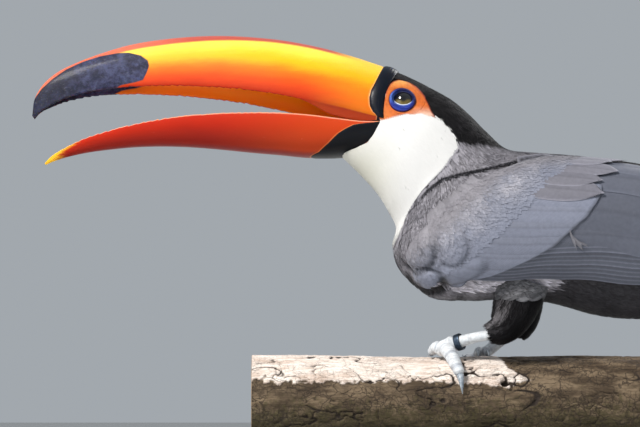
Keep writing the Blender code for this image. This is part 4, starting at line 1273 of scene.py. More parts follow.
skin_points, skin_faces, skin_colour = joined(skin_parts)
skin_nodes = ["head", "neck", "trunk", "tail"]
skin_nodes += [f"{limb}_{side_name}" for limb in ("thigh", "shank", "foot") for side_name in FEET]
skin_look = paint("bare_skin", bare_skin, Specular_IOR_Level=0.28)
piece("skin", skin_points, skin_faces, skin_look, skin_nodes, tint=skin_colour)

# ---------------------------------------------------------------- the eyes
# Dark wet eyes, sunk in the rings of skin. Each is one glossy ball with a black pupil and a brown iris
# under a low swelling cornea.


def eye(side_name, side):
    """A ball with its pole on the line of sight, and a low cornea that swells in front of the iris. Its UV
    map holds the angle from the pole and how far below the pole each point is."""
    polar, turn = np.linspace(0.0, math.pi, 60)[:, None], circle(64)[None]
    sight = np.array((APERTURE_CENTRE[0] - EYE_CENTRE[0], 0.0, APERTURE_CENTRE[1] - EYE_CENTRE[2]))
    sight[1] = side * math.sqrt(EYE_RADIUS**2 - sight @ sight)
    sight /= EYE_RADIUS
    first = unit(np.cross(sight, (0.0, 0.0, 1.0)))
    around = np.cos(turn)[..., None] * first + np.sin(turn)[..., None] * np.cross(sight, first)
    closed = np.clip(polar, 0.004, math.pi - 0.004)[..., None]
    radius = EYE_RADIUS - 0.05 + 0.10 * fade(polar, 0.15, 0.62)[..., None]
    points = (np.cos(closed) * sight + np.sin(closed) * around) * radius + EYE_CENTRE * (1, side, 1)
    faces = facing_out(points, tube_faces(*points.shape[:2]))
    uvs = {"iris": vectors(0.5 + 0.5 * np.sin(turn) * polar / math.pi, polar / math.pi)}
    piece(f"{side_name}_eyeball", rolled(points), faces, eye_paint, [f"eye_{side_name}"], uvs)


def eye_colours(place):
    """Black pupil, olive brown iris with fine spokes, painted dark above the pupil as the shade of the upper
    lid, and a dark bluish white.
    """
    uv = uv_of(place, "iris")
    polar = uv.part("Y") * math.pi
    spokes = place.noise(0.5, 4.0, 0.7)
    iris = (polar + 0.12 * (spokes - 0.5)).step(0.18, 0.42).mix((0.030, 0.022, 0.006), (0.16, 0.115, 0.020))
    # Painted shade: the iris is painted dark above the pupil, where the upper lid shades it.
    drop = (uv.part("X") - 0.5) * (2 * math.pi)
    iris = drop.step(-0.02, 0.24).mix((0.006, 0.006, 0.007), iris)
    colour = polar.step(0.12, 0.28).mix((0.001, 0.001, 0.002), iris)
    colour = (polar + 0.02 * spokes).step(0.62, 0.70).mix(colour, (0.010, 0.012, 0.035))
    return {"Base Color": colour}


eye_paint = paint("eye_gloss", eye_colours, Roughness=0.05, Coat_Weight=1.0, Coat_Roughness=0.02, IOR=1.4)
for side_name, side in (("left", -1), ("right", 1)):
    eye(side_name, side)

# ---------------------------------------------------------------- the small feathers
# Short soft feathers cover the head, neck, body and thighs. Each is a thin cambered vane with its root in
# the skin and its tip on the next one behind, and all lie from the bill towards the tail.

chance = np.random.default_rng(20)


def uneven(count, amount, least=0.6, most=1.5):
    """Random factors about 1, with that standard deviation, kept between two bounds."""
    return (1 + amount * chance.standard_normal(count)).clip(least, most)


def strewn(count, start=0.5):
    """Pairs from 0 to 1 that fill the square evenly and never clump: steps of the plastic number's powers."""
    number = np.arange(count)
    return (0.5 + number * 0.7548776662466927) % 1, (start + number * 0.5698402909980532) % 1


def spread(surface, count, start, end):
    """Places evenly strewn by area between two rows, through the running sum of the area over the rows."""
    u, v = strewn(count)
    rows = np.linspace(start, end, 240)
    t_size, angle_size = surface.sizes(*np.broadcast_arrays(rows[:, None], circle(72)))
    area = np.concatenate([[0], np.cumsum((t_size * angle_size).mean(axis=1))])[:-1]
    return np.interp(u, area / area[-1], rows), v * 2 * math.pi


def feather_group(points, turn, row, s, x, half, run, tint):
    """A group of feathers from the grids of their points, with s from 0 to 1 along each and x from -1 to 1
    across it. The OFBake map gives each a small patch of its own by the row and the angle of its root, and
    the vane map counts millimetres across and along it."""
    steps, columns = points.shape[-3:-1]
    firsts = np.arange(0, points[..., 0].size, steps * columns)
    faces = (grid_faces(steps, columns) + firsts[:, None, None]).reshape(-1, 4)
    bake = vectors(turn / (2 * math.pi) + 0.0015 * x, row / LAST_ROW + 0.003 * (s - 0.5))
    bake, vane = (np.broadcast_to(uv, (*points.shape[:-1], 2)) for uv in (bake, vectors(x * half, run)))
    tint = np.broadcast_to(tint, points.shape)
    return points.reshape(-1, 3), [faces], bake.reshape(-1, 2), vane.reshape(-1, 2), tint.reshape(-1, 3)


def vanes(surface, t, angle, heading, length, width, low, high, colours, steps=4, columns=3, camber=0.22,
          taper=0.35, bow=0.0, root_shade=0.25, tip_shade=0.0, rise=0.8):
    """Feathers on a surface. Each is a grid of steps along by columns across: its width swells from the root
    to the middle and narrows to a rounded tip, its height goes from low at the root to high at the tip, and
    its sides bend down."""
    s, x = np.linspace(0, 1, steps)[:, None], np.linspace(-1, 1, columns)
    each = (t, angle, heading, length, width, low, high, bow)
    t, angle, heading, length, width, low, high, bow = (np.asarray(value)[..., None, None] for value in each)
    swell = np.sin(math.pi * (0.14 + 0.66 * s)) ** 0.7
    half = width / 2 * swell * (1 - (1 - taper) * np.clip((s - 0.62) / 0.38, 0, 1) ** 2)
    run = length * (s - 0.10 * x * x * s * s)
    over = half * x + bow * length * s * s
    t_size, angle_size = surface.sizes(t, angle)
    row = t + (run * np.cos(heading) - over * np.sin(heading)) / t_size
    turn = angle + (run * np.sin(heading) + over * np.cos(heading)) / angle_size
    height = low + (high - low) * s**rise - camber * half * x * x
    # Painted shade: each feather is painted darker towards its root, where it lies under the ones before it;
    # tip_shade makes its tip paler, and surface.light adds the painted shade of the folds.
    shade = 1.0 - root_shade * (1 - s) + tip_shade * np.clip((s - 0.7) / 0.3, 0, 1)
    tint = colours[:, None, None, :] * (shade * surface.light(row, turn))[..., None]
    return feather_group(surface.at(row, turn, height), angle, t, s, x, half, run, tint)


def coat_piece(name, groups, look, stands_for=(), flip=True):
    """Joins groups of feathers into one piece, with its faces turned round if flip says so."""
    points, faces, bake, vane, tint = joined(groups)
    if flip:
        faces = [group[:, ::-1] for group in faces]
    piece(name, points, faces, look, stands_for, {"OFBake": bake, "vane": vane}, tint)


def feathering(size, contrast, barbing):
    """A recipe for plumage: the vane's own tint, crossed by fine slanting barbs that catch the light, with
    clouding of that size and contrast."""

    def plumage(place):
        vane = uv_of(place, "vane")
        barbs = ((vane.part("Y") - vane.part("X").absolute() * 0.9) * 9.0).sine() * 0.5 + 0.5
        cloud = place.noise(size, 4.0, 0.65)
        shade = (0.35 * barbs + 0.65 * cloud).step(0.2, 0.8) * contrast + (1.0 - contrast)
        return {
            "Base Color": shade.mix((0.0, 0.0, 0.0), tint_of(place)),
            "Roughness": 0.46 + 0.2 * cloud,
            "Normal": barbs.bump(barbing),
        }

    return plumage


soft_feather = paint("soft_feather", feathering(2.0, 0.35, 0.05), Specular_IOR_Level=0.11, Sheen_Weight=0.02)
silk_feather = paint("silk_feather", feathering(6.0, 0.03, 0.01), Specular_IOR_Level=0.1, Sheen_Weight=0.1)


def coat(count, start, end, size, wide, keep, low, high=0.0, lift=0.12, turn=0.16, vary=0.14, tone=1.0,
         **shape):
    """Small feathers of about that length and width between two rows, where keep(angle, marks) holds. Their
    roots lie at the share low of the coat's depth. One that would cross the edge of the mantle or of the bib
    ends there, and none reaches over the bare skin."""
    t, angle = spread(body, count, start, end)
    marks = markings(t, angle)
    chosen = keep(angle, marks)
    t, angle, rooted = t[chosen], angle[chosen], marks["bib"][chosen]
    length = size * uneven(len(t), 0.18) * (0.62 + 0.38 * np.clip(t / 3.5, 0, 1))
    row_size = body.sizes(t, angle)[0]
    above = over_mantle_edge(*body.side_view(t, angle))
    tip_above = over_mantle_edge(*body.side_view(t + length / row_size, angle))
    crossing = (above > 0) & (above < PAST_EDGE) & (tip_above < 0)
    length = np.where(crossing, length * np.clip(above / (above - tip_above), 0.35, 1), length)
    ended = markings(t + 0.95 * length / row_size, angle)["bib"]
    leaving = (rooted > 0) & (ended < 0)
    length = np.where(leaving, length * np.clip(rooted / (rooted - ended + 1e-6), 0.3, 1), length)
    clear = markings(t + 0.95 * length / row_size, angle)["orange"] <= 0.1
    t, angle, length, row_size = t[clear], angle[clear], length[clear], row_size[clear]
    number = len(t)
    width = wide * uneven(number, 0.15)
    heading = turn * chance.standard_normal(number)
    middle = t + 0.55 * length / row_size
    colours = feather_colour(middle, angle, markings(middle, angle))
    colours = tone * colours * (1 + vary * chance.standard_normal(number).clip(-2, 2))[:, None]
    root = -coat_depth(t, markings(t, angle)) * low
    bow = 0.05 * chance.standard_normal(number)
    tip = high + lift * chance.standard_normal(number).clip(-2, 2)
    return vanes(body, t, angle, heading, length, width, root, tip, colours.clip(0, 0.9), bow=bow, **shape)


def off_face(marks):
    """Where feathers grow on the head: behind the bill's base and the black patch, and off the bare skin."""
    front = np.interp(marks["z"], FRONT_Z, FRONT_X) + 2.0 * (1 - fade(marks["z"], 236.0, 238.0))
    return (marks["x"] > front + 0.2) & (marks["orange"] < -0.15)


bib = coat(
    30000, 0.0, 6.3, 8.0, 1.6, lambda a, m: off_face(m) & (m["bib"] > -0.2), low=0.2, lift=0.01, turn=0.05,
    vary=0.01, camber=0.02, taper=0.3, root_shade=0.0, rise=0.5,
)
cap = coat(
    30000, 0.0, 6.5, 5.2, 0.85, lambda a, m: off_face(m) & (m["bib"] < -0.2), low=0.4, lift=0.06, turn=0.14,
    vary=0.25, camber=0.12, taper=0.2, rise=0.5,
)
breast = coat(
    24000, 6.0, 14.0, 7.0, 2.0, lambda a, m: np.cos(a) < 0.2, low=0.35, lift=0.06, rise=0.6, camber=0.07
)
# Painted sheen: tone 2.0 paints the flank feathers twice as light as the plumage they grow on.
flank = coat(
    9000, 6.9, 10.3, 12.5, 3.2, lambda a, m: np.abs(np.abs(a - math.pi) - math.radians(42.0)) < 0.17,
    low=0.6, high=1.0, lift=0.3, turn=0.10, vary=0.25, tone=2.0, steps=5, rise=0.6, tip_shade=0.35,
)
mantle = coat(
    24000, 6.0, 12.2, 5.5, 1.6, lambda a, m: np.cos(a) >= 0.2, low=0.35, lift=0.06, rise=0.6, camber=0.08
)
coat_piece("white_bib", [bib], silk_feather)
coat_piece("cap_and_nape", [cap], soft_feather)
coat_piece("breast_and_belly", [breast, flank], soft_feather)
coat_piece("mantle", [mantle], soft_feather)

# ---------------------------------------------------------------- the wings
# Each wing is closed against the side. Long flight feathers are stacked along its lower edge, the
# broad inner ones close over them, and rows of rounded coverts and shoulder feathers lie on top.

# The bed of the wing: the body's rows, and past the rump rows beside the root of the tail.
WING_BED = BODY[:14] + (
    (131.0, 197.0, 98.0, 135.0, 23.0, 2.2),
    (147.0, 189.0, 123.0, 137.0, 21.0, 2.2),
    (163.0, 181.5, 148.0, 138.5, 20.0, 2.2),
    (178.0, 174.0, 170.0, 139.0, 19.5, 2.2),
)
# Row on the bed, angle of the upper and the lower edge from the back's ridge, thickness.
WING = (
    (6.25, 74.0, 112.0, 1.4),
    (6.60, 56.0, 138.0, 3.2),
    (7.20, 37.0, 148.0, 4.6),
    (8.20, 25.0, 150.0, 5.4),
    (9.60, 22.0, 144.0, 5.2),
    (11.0, 22.0, 137.0, 4.6),
    (12.5, 24.0, 128.0, 4.0),
    (14.0, 30.0, 118.0, 3.2),
    (15.3, 42.0, 108.0, 2.4),
    (16.4, 58.0, 98.0, 1.6),
    (17.0, 72.0, 88.0, 1.0),
)
wing_rows = smooth(WING, np.linspace(0, len(WING) - 1, 120))
# Edges of the feather rows in their order from the front: degrees, row.
LESSER_EDGE = ((20, 9.2), (40, 9.0), (60, 8.6), (80, 8.3), (100, 8.2), (115, 8.05), (125, 7.9), (135, 7.85),
               (150, 7.8))
GREAT_EDGE = ((30, 9.9), (44, 10.0), (54, 10.05), (64, 10.15), (74, 10.2), (83, 10.2), (91, 10.06),
              (100, 9.95), (105, 9.82), (110, 9.62), (119.5, 9.18), (126, 8.85), (131, 8.4))
# Lower edges of the lowest and the highest flight feather: row, degrees.
LOWEST_EDGE = ((8.0, 130.0), (9.5, 130.5), (10.7, 128.5), (11.5, 122.0), (12.5, 117.0), (14.0, 113.0),
               (15.3, 106.0), (16.4, 96.0), (17.0, 86.0))
HIGHEST_EDGE = ((8.0, 112.0), (9.5, 106.0), (10.7, 101.0), (11.5, 96.0), (12.5, 90.0), (14.0, 84.0),
                (15.3, 80.0), (16.4, 78.0), (17.0, 78.0))
FLIGHT_ROOT, FLIGHT_END = 8.2, 16.95  # rows
# Roots and tips (row, degrees) and widths of the larger feathers, from the lowest to the highest.
INNER_ROOTS, INNER_WIDTHS = ((8.6, 98.0), (8.6, 80.0), (8.6, 53.0), (8.6, 36.0)), (22.0, 28.0, 20.0, 14.0)
INNER_TIPS = ((13.2, 84.0), (12.2, 73.5), (12.7, 43.0), (13.0, 31.0))
GREAT_TIPS = [(9.0, degrees) for degrees in (127.0, 119.0, 110.0, 100.0, 89.5, 79.0, 68.0)]
SHOULDER_TIPS = ((10.22, 65.0), (9.95, 55.0), (10.25, 44.5), (9.9, 34.0), (10.3, 26.0))
SHOULDER_WIDTHS = (15.0, 13.0, 12.0, 12.0, 11.0)
# Painted sheen: the wing's feathers are black, and these slate and brownish greys stand for the light that
# they catch.
WING_PAINTED_SHEEN_SLATE, WING_PAINTED_SHEEN_BROWN = np.array((0.203, 0.220, 0.288)), np.array((0.245, 0.243, 0.280))


def wing_height(t, angle):
    """Height of the wing's outer side over its bed: its thickness, rounded off towards both edges."""
    upper, lower, thick = (np.interp(t, wing_rows[:, 0], wing_rows[:, k]) for k in (1, 2, 3))
    across = np.clip((np.degrees(angle) - upper) / (lower - upper) * 2 - 1, -1.0, 1.0)
    return 0.6 + (1.0 + (thick - 0.7) * np.sqrt(1 - across**4)) * fade(-t, -6.6, -5.9)


class WingSurface(Surface):
    """The outer side of the closed wing, on the same rows and angles as its bed, with the folds in it."""

    def __init__(self, side):
        super().__init__(WING_BED, side=side)
        x, z = self.own[..., 0], self.own[..., 2]
        ruffle = 0.35 * wobble(vectors(x, z, 0), 7.0, 56) * fade(self.t, 8.0, 9.0)
        self.cover = (wing_height(self.t, self.angle) + folded(x, z)[0] + ruffle)[..., None]

    def at(self, t, angle, height=0.0):
        return super().at(t, angle, height + self.look_up(self.cover, t, angle)[..., 0])


def rounded(s, start, power, least):
    """A feather's width past start, as a share: a drawn-out quarter ellipse that ends at the tip."""
    return np.sqrt(np.clip(1 - np.clip((s - start) / (1 - start), 0, 1) ** power, least, 1))


def spots(places):
    """Rows and angles of places given as row and degrees, each spread over a feather's grid."""
    return (np.array(places) * (1.0, math.pi / 180)).T[..., None, None]


def long_vanes(surface, roots, tips, width, low, high, tilt, colour, steps, columns, blunt=0.55, edge=None,
               rim=0.45, seed=0):
    """Large feathers between places (row, degrees). The centre line runs straight between them; the width
    swells quickly and ends round; the upper side lies lower by tilt, under its neighbour. With an edge, a
    table of degrees and row, all the tips end on that line instead, with small notches."""
    (root_row, root_turn), (tip_row, tip_turn) = spots(roots), spots(tips)
    local, number = np.random.default_rng(seed), len(roots)
    s, x = np.linspace(0, 1, steps)[:, None], np.linspace(-1, 1, columns)
    width = np.broadcast_to(np.asarray(width, float), (number,))[:, None, None]
    rag = 0.008 * local.standard_normal((number, 1, columns)).clip(-1.5, 1.5)
    half = width / 2 * np.clip(s / 0.12, 0, 1) ** 0.5
    if edge is None:
        half = half * rounded(s, blunt, 2.6, 0.02)
        share = s * (1 - 0.05 * x * x * s**4) * (1 + rag * np.clip((s - 0.6) / 0.4, 0, 1))
    else:
        half = half * (1 - 0.12 * np.clip((s - 0.94) / 0.06, 0, 1) ** 2)
        reach = width / 2 / np.maximum(surface.sizes(tip_row, tip_turn)[1], 1)
        tip_row = table_at(edge, np.degrees(tip_turn + x * reach)) - 0.05 * x**2
        share = s
    row = root_row + (tip_row - root_row) * share
    turn = root_turn + (tip_turn - root_turn) * share
    t_size, angle_size = surface.sizes(row, turn)
    run_down, run_round = (tip_row - root_row) * t_size, (tip_turn - root_turn) * angle_size
    heading = np.arctan2(run_round, run_down)
    row = row - half * x * np.sin(heading) / t_size
    turn = turn + half * x * np.cos(heading) / angle_size
    height = low + (high - low) * s**0.7 + tilt * (x - 1) / 2 - 0.35 * x**4 * (width / 14)
    points = surface.at(row, turn, height - 0.10 * hump(x, 0.05) * s)
    tone = 1 + 0.10 * local.standard_normal((number, 1, 1)).clip(-1.5, 1.5)
    # Painted light: rim paints the edges and the tip lighter as a painted highlight, or darker as a painted
    # shadow line where it is negative, and each feather is painted darker towards its root, where it lies
    # under others.
    pale = 1 + rim * np.maximum(x**10, np.clip((s - 0.96) / 0.04, 0, 1)) - 0.15 * hump(x, 0.05)
    tint = colour * (tone * pale * (0.75 + 0.25 * s) * surface.light(row, turn))[..., None]
    run = s * np.hypot(run_down, run_round)
    return feather_group(points, root_turn, root_row, s, x, half, run, tint)


def flight_vanes(surface, count, seed):
    """The stack of flight feathers: each hangs below the next higher one by an even share."""
    steps, local = 44, np.random.default_rng(seed)
    local.standard_normal((count, steps, 1))  # passed over, so that each feather keeps its tone
    rank = np.linspace(0, 1, count)[:, None, None]
    s, x = np.linspace(0, 1, steps)[:, None], np.linspace(-1, 1, 11)
    row = FLIGHT_ROOT + (FLIGHT_END - 4.0 * rank**0.8 - FLIGHT_ROOT) * s + 0 * x
    low_edge, high_edge = table_at(LOWEST_EDGE, row), table_at(HIGHEST_EDGE, row)
    bottom = np.radians(low_edge + (high_edge - low_edge) * rank)
    t_size, angle_size = surface.sizes(row, bottom)
    width = (11.0 + 2.0 * rank) * rounded(s, 0.75, 2.2, 0.01)
    turn = bottom - (1 - x) / 2 * width / angle_size
    turn = turn - np.radians(2.0) * np.clip((s - 0.9) / 0.1, 0, 1) ** 2
    points = surface.at(row, turn, -1.3 + 0.3 * rank + 0.55 * (x - 1) / 2 - 0.15 * x**4)
    # Painted light: a painted highlight along each feather's lower edge, and painted shade over its upper
    # part, which lies under the next feather.
    rim = 1 + 0.9 * np.clip((x - 0.8) / 0.2, 0, 1) ** 2 - 0.2 * hump(x, 0.15) - 0.35 * (x < 0.4)
    tint = WING_PAINTED_SHEEN_SLATE * 0.55 * (rim * (1 + 0.08 * local.standard_normal((count, 1, 1))))[..., None]
    root_row = FLIGHT_ROOT + 0.004 * LAST_ROW * rank
    return feather_group(points, bottom[:, :1], root_row, s, x, width / 2, (row - FLIGHT_ROOT) * t_size, tint)


def shifted(places, back, up):
    """The same places moved towards the head by rows and up by degrees."""
    return np.array(places) - (back, up)


def small_coverts(surface, count):
    """Small soft feathers on the front of the wing, which end in a low step and take on the body's grey
    where they meet it."""
    t, angle = spread(surface, count, 5.9, 9.4)
    upper, lower = (np.interp(t, wing_rows[:, 0], wing_rows[:, k]) for k in (1, 2))
    degrees = np.degrees(angle)
    to_edge, under_edge = table_at(LESSER_EDGE, degrees) - t, degrees - upper
    chosen = (to_edge > 0.2) & (under_edge > -3) & (degrees < lower + 1)
    t, angle, to_edge, under_edge = (values[chosen] for values in (t, angle, to_edge, under_edge))
    x, z = surface.side_view(t, angle)
    number, spot = len(t), vectors(x, z, 0)
    cloud = 0.5 + 0.5 * wobble(spot, 5.0, 63) + 0.25 * wobble(spot, 1.8, 64)
    varied = (1 + 0.12 * chance.standard_normal(number))[:, None]
    colours = blended(cloud, WING_PAINTED_SHEEN_SLATE, WING_PAINTED_SHEEN_BROWN * 1.6) * varied
    length, width = 5.4 * uneven(number, 0.2), 2.1 * uneven(number, 0.15)
    above = over_mantle_edge(x, z)
    length = np.where((above > 0) & (above < PAST_EDGE), np.minimum(length, above + 2.0), length)
    heading = 0.12 * chance.standard_normal(number) + 0.25 * fade(-t, -7.4, -6.2)
    height = 0.1 + 0.04 * chance.standard_normal(number).clip(-2, 2)
    near = fade(to_edge, 0.2, 1.3)
    colours = blended(near, colours, WING_PAINTED_SHEEN_SLATE * 1.3)
    joint = np.maximum(fade(under_edge, 3.0, 24.0), fade(t, 6.4, 7.1))
    colours = blended(joint, colours, blended(cloud, PAINTED_SHEEN_DARK, PAINTED_SHEEN_PALE)).clip(0, 0.9)
    return vanes(surface, t, angle, heading, length, width, -0.9, height - 0.65 * near**2, colours,
                 camber=0.05, taper=0.45, tip_shade=0.06, rise=0.45)


satin_feather = paint("satin_feather", feathering(2.2, 0.3, 0.06), Specular_IOR_Level=0.3, Sheen_Weight=0.08)
# Frayed barbs that hang in a tuft from under the end of the great coverts.
frayed = np.arange(12)
fray_roots = vectors(9.98 + 0.02 * frayed, 90.5 + 0.5 * frayed)
fray_tips = vectors(10.42 + 0.035 * frayed, 99.0 + 1.0 * (frayed % 5))
for side_name, side in (("left", -1), ("right", 1)):
    bed = WingSurface(-side)
    flight = flight_vanes(bed, 9, 5)
    inner = long_vanes(bed, INNER_ROOTS, INNER_TIPS, INNER_WIDTHS, -1.4, -0.55, 0.5, WING_PAINTED_SHEEN_SLATE * 0.74,
                       40, 15, blunt=0.62, rim=0.3, seed=6)
    great = long_vanes(bed, shifted(GREAT_TIPS, 1.9, -3.0), GREAT_TIPS, 19.0, -1.2, -0.3, 0.3,
                       WING_PAINTED_SHEEN_SLATE * 1.3, 26, 15, edge=GREAT_EDGE, rim=-0.55, seed=7)
    shoulder = long_vanes(bed, shifted(SHOULDER_TIPS, 3.2, 1.5), SHOULDER_TIPS, SHOULDER_WIDTHS, -1.1, 0.35,
                          0.3, WING_PAINTED_SHEEN_BROWN * (0.95, 0.95, 1.0), 30, 13, rim=0.6, seed=9)
    fray = long_vanes(bed, fray_roots, fray_tips, 0.45, -0.45, 0.0, 0.0, WING_PAINTED_SHEEN_BROWN * 0.9, 8, 3, seed=11)
    groups = [flight, inner, great, shoulder, fray, small_coverts(bed, 22000)]
    nodes = [f"wing_{side_name}"]
    coat_piece(f"{side_name}_wing_feathers", groups, satin_feather, nodes, flip=side < 0)

# ---------------------------------------------------------------- the thighs and the tail
# Hair-like feathers hang down the thighs. Long stiff feathers make the flat square tail, with white
# coverts over their roots and red ones under them.


class ThighSurface:
    """A feathered thigh: rows run down it, and the angle goes round it."""

    def __init__(self, side_name, side):
        self.name, self.side = side_name, side

    def at(self, t, angle, height):
        """Past the lower end, feathers run on round the shank and draw together."""
        past = np.clip(t - 1, 0, None)
        place = thigh_surface(self.name, self.side, t, angle, height - 12.0 * past)
        return place + past[..., None] * np.array((-33.0, 0.0, -8.0))

    def light(self, *_):
        return 1.0

    def sizes(self, t, *_):
        return 34.0, np.interp(t, (0, 0.5, 0.75, 1), (12.8, 12.0, 8.5, 5.0))


def thigh_down(surface, count):
    """Fine feathers all round a thigh: black, with streaks of grey painted on its front as the sheen of light
    on them.
    """
    u, v = strewn(count, 0.0)
    t, angle = np.clip(u - 0.06, -0.05, 0.92), v * 2 * math.pi
    length = (8.5 - 3.5 * t) * uneven(count, 0.15, most=1.4)
    around = vectors(13 * np.cos(angle), 13 * np.sin(angle), 5 * t)
    streak = np.clip(0.45 + 1.1 * wobble(around, 1.4, 95) + 0.35 * wobble(around, 0.6, 96), 0, 1)
    # Painted sheen: grey streaks on the front of the thigh stand for the light that its black feathers catch.
    pale = (0.06 + 0.94 * fade(np.cos(angle), -0.85, 0.25)) * streak**1.5
    colours = blended(pale * (0.6 + 0.4 * chance.random(count)), (0.006, 0.0055, 0.007), (0.30, 0.285, 0.31))
    heading, high = 0.16 * chance.standard_normal(count), 0.1 + 0.35 * chance.random(count)
    return vanes(surface, t, angle, heading, length, 0.6, -1.6 + 0.8 * t, high, colours, steps=5, columns=2,
                 taper=0.12, bow=0.08 * chance.standard_normal(count))


def flank_tufts(surface, count):
    """Loose feathers of the flank that hang over the top of a thigh on its outer side, painted grey as the
    sheen of light on their black.
    """
    u, v = strewn(count, 0.0)
    t, angle = -0.08 + 0.42 * u, surface.side * math.pi / 2 + (v - 0.5) * 3.4
    above = surface.at(t, angle, 0.0)[:, 2] > 142.5
    t, angle = t[above], angle[above] % (2 * math.pi)
    varied = chance.standard_normal((2, len(t))).clip(-1.5, 1.5)
    # Painted sheen: the flank feathers are black, painted grey for the light that they catch.
    colours = np.array((0.16, 0.16, 0.175)) * (1 + 0.25 * varied[0])[:, None]
    heading = -surface.side * (1.85 + 0.15 * varied[1])
    return vanes(surface, t, angle, heading, 9.0, 3.0, -0.6, 1.0, colours, steps=7, columns=5, taper=0.3,
                 rise=0.6)


thigh_groups = []
for side_name, side in (("left", -1), ("right", 1)):
    surface = ThighSurface(side_name, side)
    thigh_groups += [thigh_down(surface, 7000), flank_tufts(surface, 420)]
coat_piece("thigh_feathers", thigh_groups, soft_feather, flip=False)

TAIL_ROOT_X, TAIL_END_X, TAIL_FEATHERS = 148.0, 273.0, 10
TAIL_ROWS, TAIL_BLACK = np.array(BODY[16:]), np.array((0.030, 0.030, 0.034))


def tail_feather(rank, level):
    """One tail feather: rank runs from -1 at the right edge to 1 at the left one. It lies flat at the height
    of the tail's back, or lower by its level, and those low down overlap the other way round."""
    s, x = np.linspace(0, 1, 46)[:, None], np.linspace(-1, 1, 11)
    run = (TAIL_END_X - 4.5 * rank**2 - TAIL_ROOT_X) * s
    along = TAIL_ROOT_X + run
    half = np.interp(s, (0, 0.15, 0.8, 1), (3.0, 6.8, 8.6, 8.2)) * rounded(s, 0.955, 2.4, 0.03)
    y = x * half - rank * (6.0 + 15.2 * s)
    back_z, belly_z, half_width = (np.interp(along, TAIL_ROWS[:, 0], TAIL_ROWS[:, k]) for k in (1, 3, 4))
    middle, thick = (back_z + belly_z) / 2, (back_z - belly_z) / 2
    dome = np.sqrt(np.clip(1 - (y / (half_width * 1.04)) ** 2, 0.0, 1))
    top, outer = level < 0.5, -1 if rank > 0 else 1
    z = middle + thick * dome * (0.92 - 1.5 * level) - 0.32 * x**2 - 0.12 * hump(x, 0.07)
    z = z - 0.45 * abs(rank) * top + 0.25 * x * outer * (1 if top else -1)
    points = vectors(along + 1.2 * (1 - x * x) * (s > 0.98), y, z)
    # Painted highlight: each tail feather is painted lighter along its edges.
    rim = (1 + 0.35 * x**8 - 0.25 * hump(x, 0.08)) * (1 + 0.08 * chance.standard_normal())
    turn = (0.08 * rank + (0 if top else math.pi)) % (2 * math.pi)
    return feather_group(points, turn, 16.5, s, x, half, run, TAIL_BLACK * rim[..., None])


ranks = (np.arange(TAIL_FEATHERS) - 4.5) / 4.5
tail_feathers = [tail_feather(rank, 0.35 + 0.25 * abs(rank)) for rank in ranks] + [tail_feather(0.0, 0.02)]
coat_piece("tail_feathers", tail_feathers, satin_feather)

# Coverts over and under the tail's root.
rump = coat(9000, 11.6, 16.6, 9.5, 2.2, lambda a, m: np.cos(a) > 0.25, low=0.8, high=0.15)
under_tail = coat(
    14000, 11.7, 17.6, 10.0, 2.3, lambda a, m: (np.cos(a) <= 0.25) & (m["crissum"] > -0.5), low=0.8, high=0.2
)
coat_piece("tail_coverts", [rump, under_tail], soft_feather)

# ---------------------------------------------------------------- the claws and the leg ring
# A curved claw ends each toe, with a groove along both sides, and a plain narrow ring lies round the left
# shank.


def claw(name, foot, toe, look):
    """A tube that narrows to a point along a curve from the toe's end to the bark, grooved along its
    sides."""
    x0, angle0, toe_radius = toe["path"][2]
    x1, angle1 = toe["claw"]
    share = np.linspace(-0.06, 1, 60)
    ahead = share.clip(0, 1)
    radii = 0.16 + (0.66 * toe_radius - 0.16) * (1 - ahead**1.35)
    height = radii + CLEAR + 0.18 * toe_radius * (1 - share) + 1.5 * np.sin(ahead * math.pi)
    path = on_foot(foot, x0 + (x1 - x0) * share, angle0 + (angle1 - angle0) * share, height)
    groove = -0.16 * hump(np.abs(np.cos(circle(26))) - 1, 0.10) * np.sin(math.pi * ahead)[:, None]
    points = tube(path, radii, 26, groove)
    piece(f"{name}_horn", points, facing_out(points, tube_faces(60, 26)), look, [name])


def claw_horn(place):
    """Blue-grey horn with fine streaks along it."""
    streak = place.stretched(0.4, 0.4, 0.4).noise(0.8, 4.0, 0.7)
    colour = streak.step(0.3, 0.75).mix((0.20, 0.24, 0.29), (0.48, 0.54, 0.60))
    return {"Base Color": colour, "Roughness": 0.32 + 0.2 * streak, "Normal": streak.bump(0.08)}


claw_look = paint("claw_horn", claw_horn, Coat_Weight=0.2, Coat_Roughness=0.15)
for side_name, foot in FEET.items():
    for number, toe in TOES.items():
        claw(f"claw_{side_name}_{number}", foot, toe, claw_look)

RING_AWAY, RING_INNER, RING_OUTER, RING_LENGTH = 10.2, 3.85, 4.75, 3.4
RING_STEPS, RING_SIDES = 120, 40


def ring_points(foot):
    """A band with rounded edges, as a grid that is closed both ways: its profile, a squared ellipse, carried
    round the shank's centre line."""
    before, centre, after = shank_path(foot, RING_AWAY + np.array((-1.0, 0.0, 1.0)))
    heading = unit(after - before)
    across = unit(np.array((0.0, 1.0, 0.0)) - heading * heading[1])
    thick, long = superellipse(circle(RING_SIDES), 5.0)
    radius = (RING_OUTER + RING_INNER) / 2 + (RING_OUTER - RING_INNER) / 2 * thick
    turn = circle(RING_STEPS)[:, None, None]
    spoke = across * np.cos(turn) + np.cross(heading, across) * np.sin(turn)
    return centre + heading * (RING_LENGTH / 2 * long)[:, None] + spoke * radius[:, None]


def band_metal(place):
    """Slate blue anodised metal with fine wear."""
    wear = place.noise(0.9, 5.0, 0.7)
    colour = wear.step(0.55, 0.8).mix((0.050, 0.072, 0.105), (0.26, 0.30, 0.35))
    return {"Base Color": colour, "Roughness": 0.28 + 0.25 * wear, "Normal": wear.bump(0.02)}


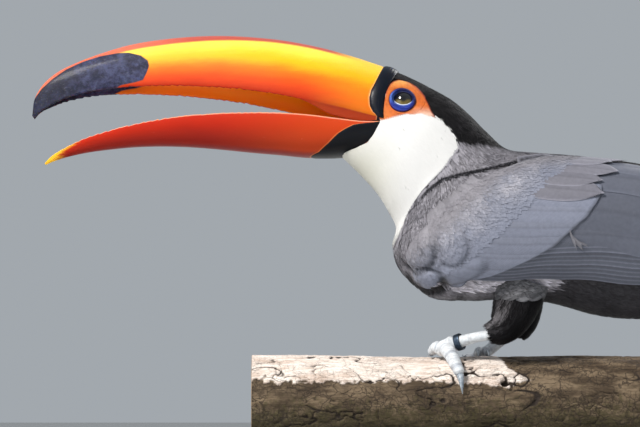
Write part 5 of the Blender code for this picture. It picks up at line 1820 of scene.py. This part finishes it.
band = ring_points(FEET["left"])
band_faces = grid_faces(RING_STEPS + 1, RING_SIDES, closed=True) % (RING_STEPS * RING_SIDES)
band_look = paint("anodised_band", band_metal, Metallic=0.9)
piece("leg_band", band, facing_out(band, [band_faces]), band_look, ["leg_ring"])

# ---------------------------------------------------------------- floor, light and camera
# The model stands on a plain pale floor under soft studio lamps, seen from its left side, a little
# from below the bill.

floor_mesh = bpy.data.meshes.new("floor")
floor_mesh.from_pydata([(-4, -4, 0), (4, -4, 0), (4, 4, 0), (-4, 4, 0)], [], [(0, 1, 2, 3)])
floor = bpy.data.objects.new("floor", floor_mesh)
bpy.context.scene.collection.objects.link(floor)
floor_mesh.materials.append(paint("pale_floor", Base_Color=(0.62, 0.62, 0.61), Roughness=0.8))

bpy.context.scene.view_settings.view_transform = "Standard"
world = bpy.data.worlds.new("studio")
world.use_nodes = True
background = world.node_tree.nodes["Background"]
background.inputs["Color"].default_value = (0.86, 0.93, 1.0, 1.0)
background.inputs["Strength"].default_value = 0.42
bpy.context.scene.world = world


def aimed(name, data, place, target):
    """Adds a lamp or camera at place, turned towards target, both in metres."""
    made = bpy.data.objects.new(name, data)
    made.location = place
    made.rotation_euler = (Vector(target) - made.location).to_track_quat("-Z", "Y").to_euler()
    bpy.context.scene.collection.objects.link(made)
    return made


def lamp(name, place, target, size, watts, colour=(1.0, 1.0, 1.0)):
    """A square soft lamp."""
    light = bpy.data.lights.new(name, "AREA")
    light.size, light.energy, light.color = size, watts, colour
    aimed(name, light, place, target)


lamp("sun side", (-1.0, -1.0, 1.65), (-0.05, 0.0, 0.2), 0.45, 50.0, (1.0, 0.96, 0.9))
lamp("front fill", (-1.3, -1.6, 0.5), (-0.1, 0.0, 0.2), 1.2, 4.0, (0.9, 0.95, 1.0))
lamp("back rim", (0.9, 1.2, 1.1), (0.0, 0.0, 0.2), 0.9, 16.0)

CAMERA_DISTANCE, CAMERA_RISE, SENSOR_WIDTH = 2.2, math.radians(-2.0), 36.0
CAMERA_TARGET, VIEW_WIDTH = (-0.112, 0.0, 0.190), 0.3584  # metres
camera_data = bpy.data.cameras.new("camera")
camera_data.sensor_width = SENSOR_WIDTH
camera_data.lens = SENSOR_WIDTH * CAMERA_DISTANCE / VIEW_WIDTH
camera_data.clip_end = 20
camera_away = Vector((0, -math.cos(CAMERA_RISE), math.sin(CAMERA_RISE))) * CAMERA_DISTANCE
camera_place = Vector(CAMERA_TARGET) + camera_away
bpy.context.scene.camera = aimed("camera", camera_data, camera_place, CAMERA_TARGET)
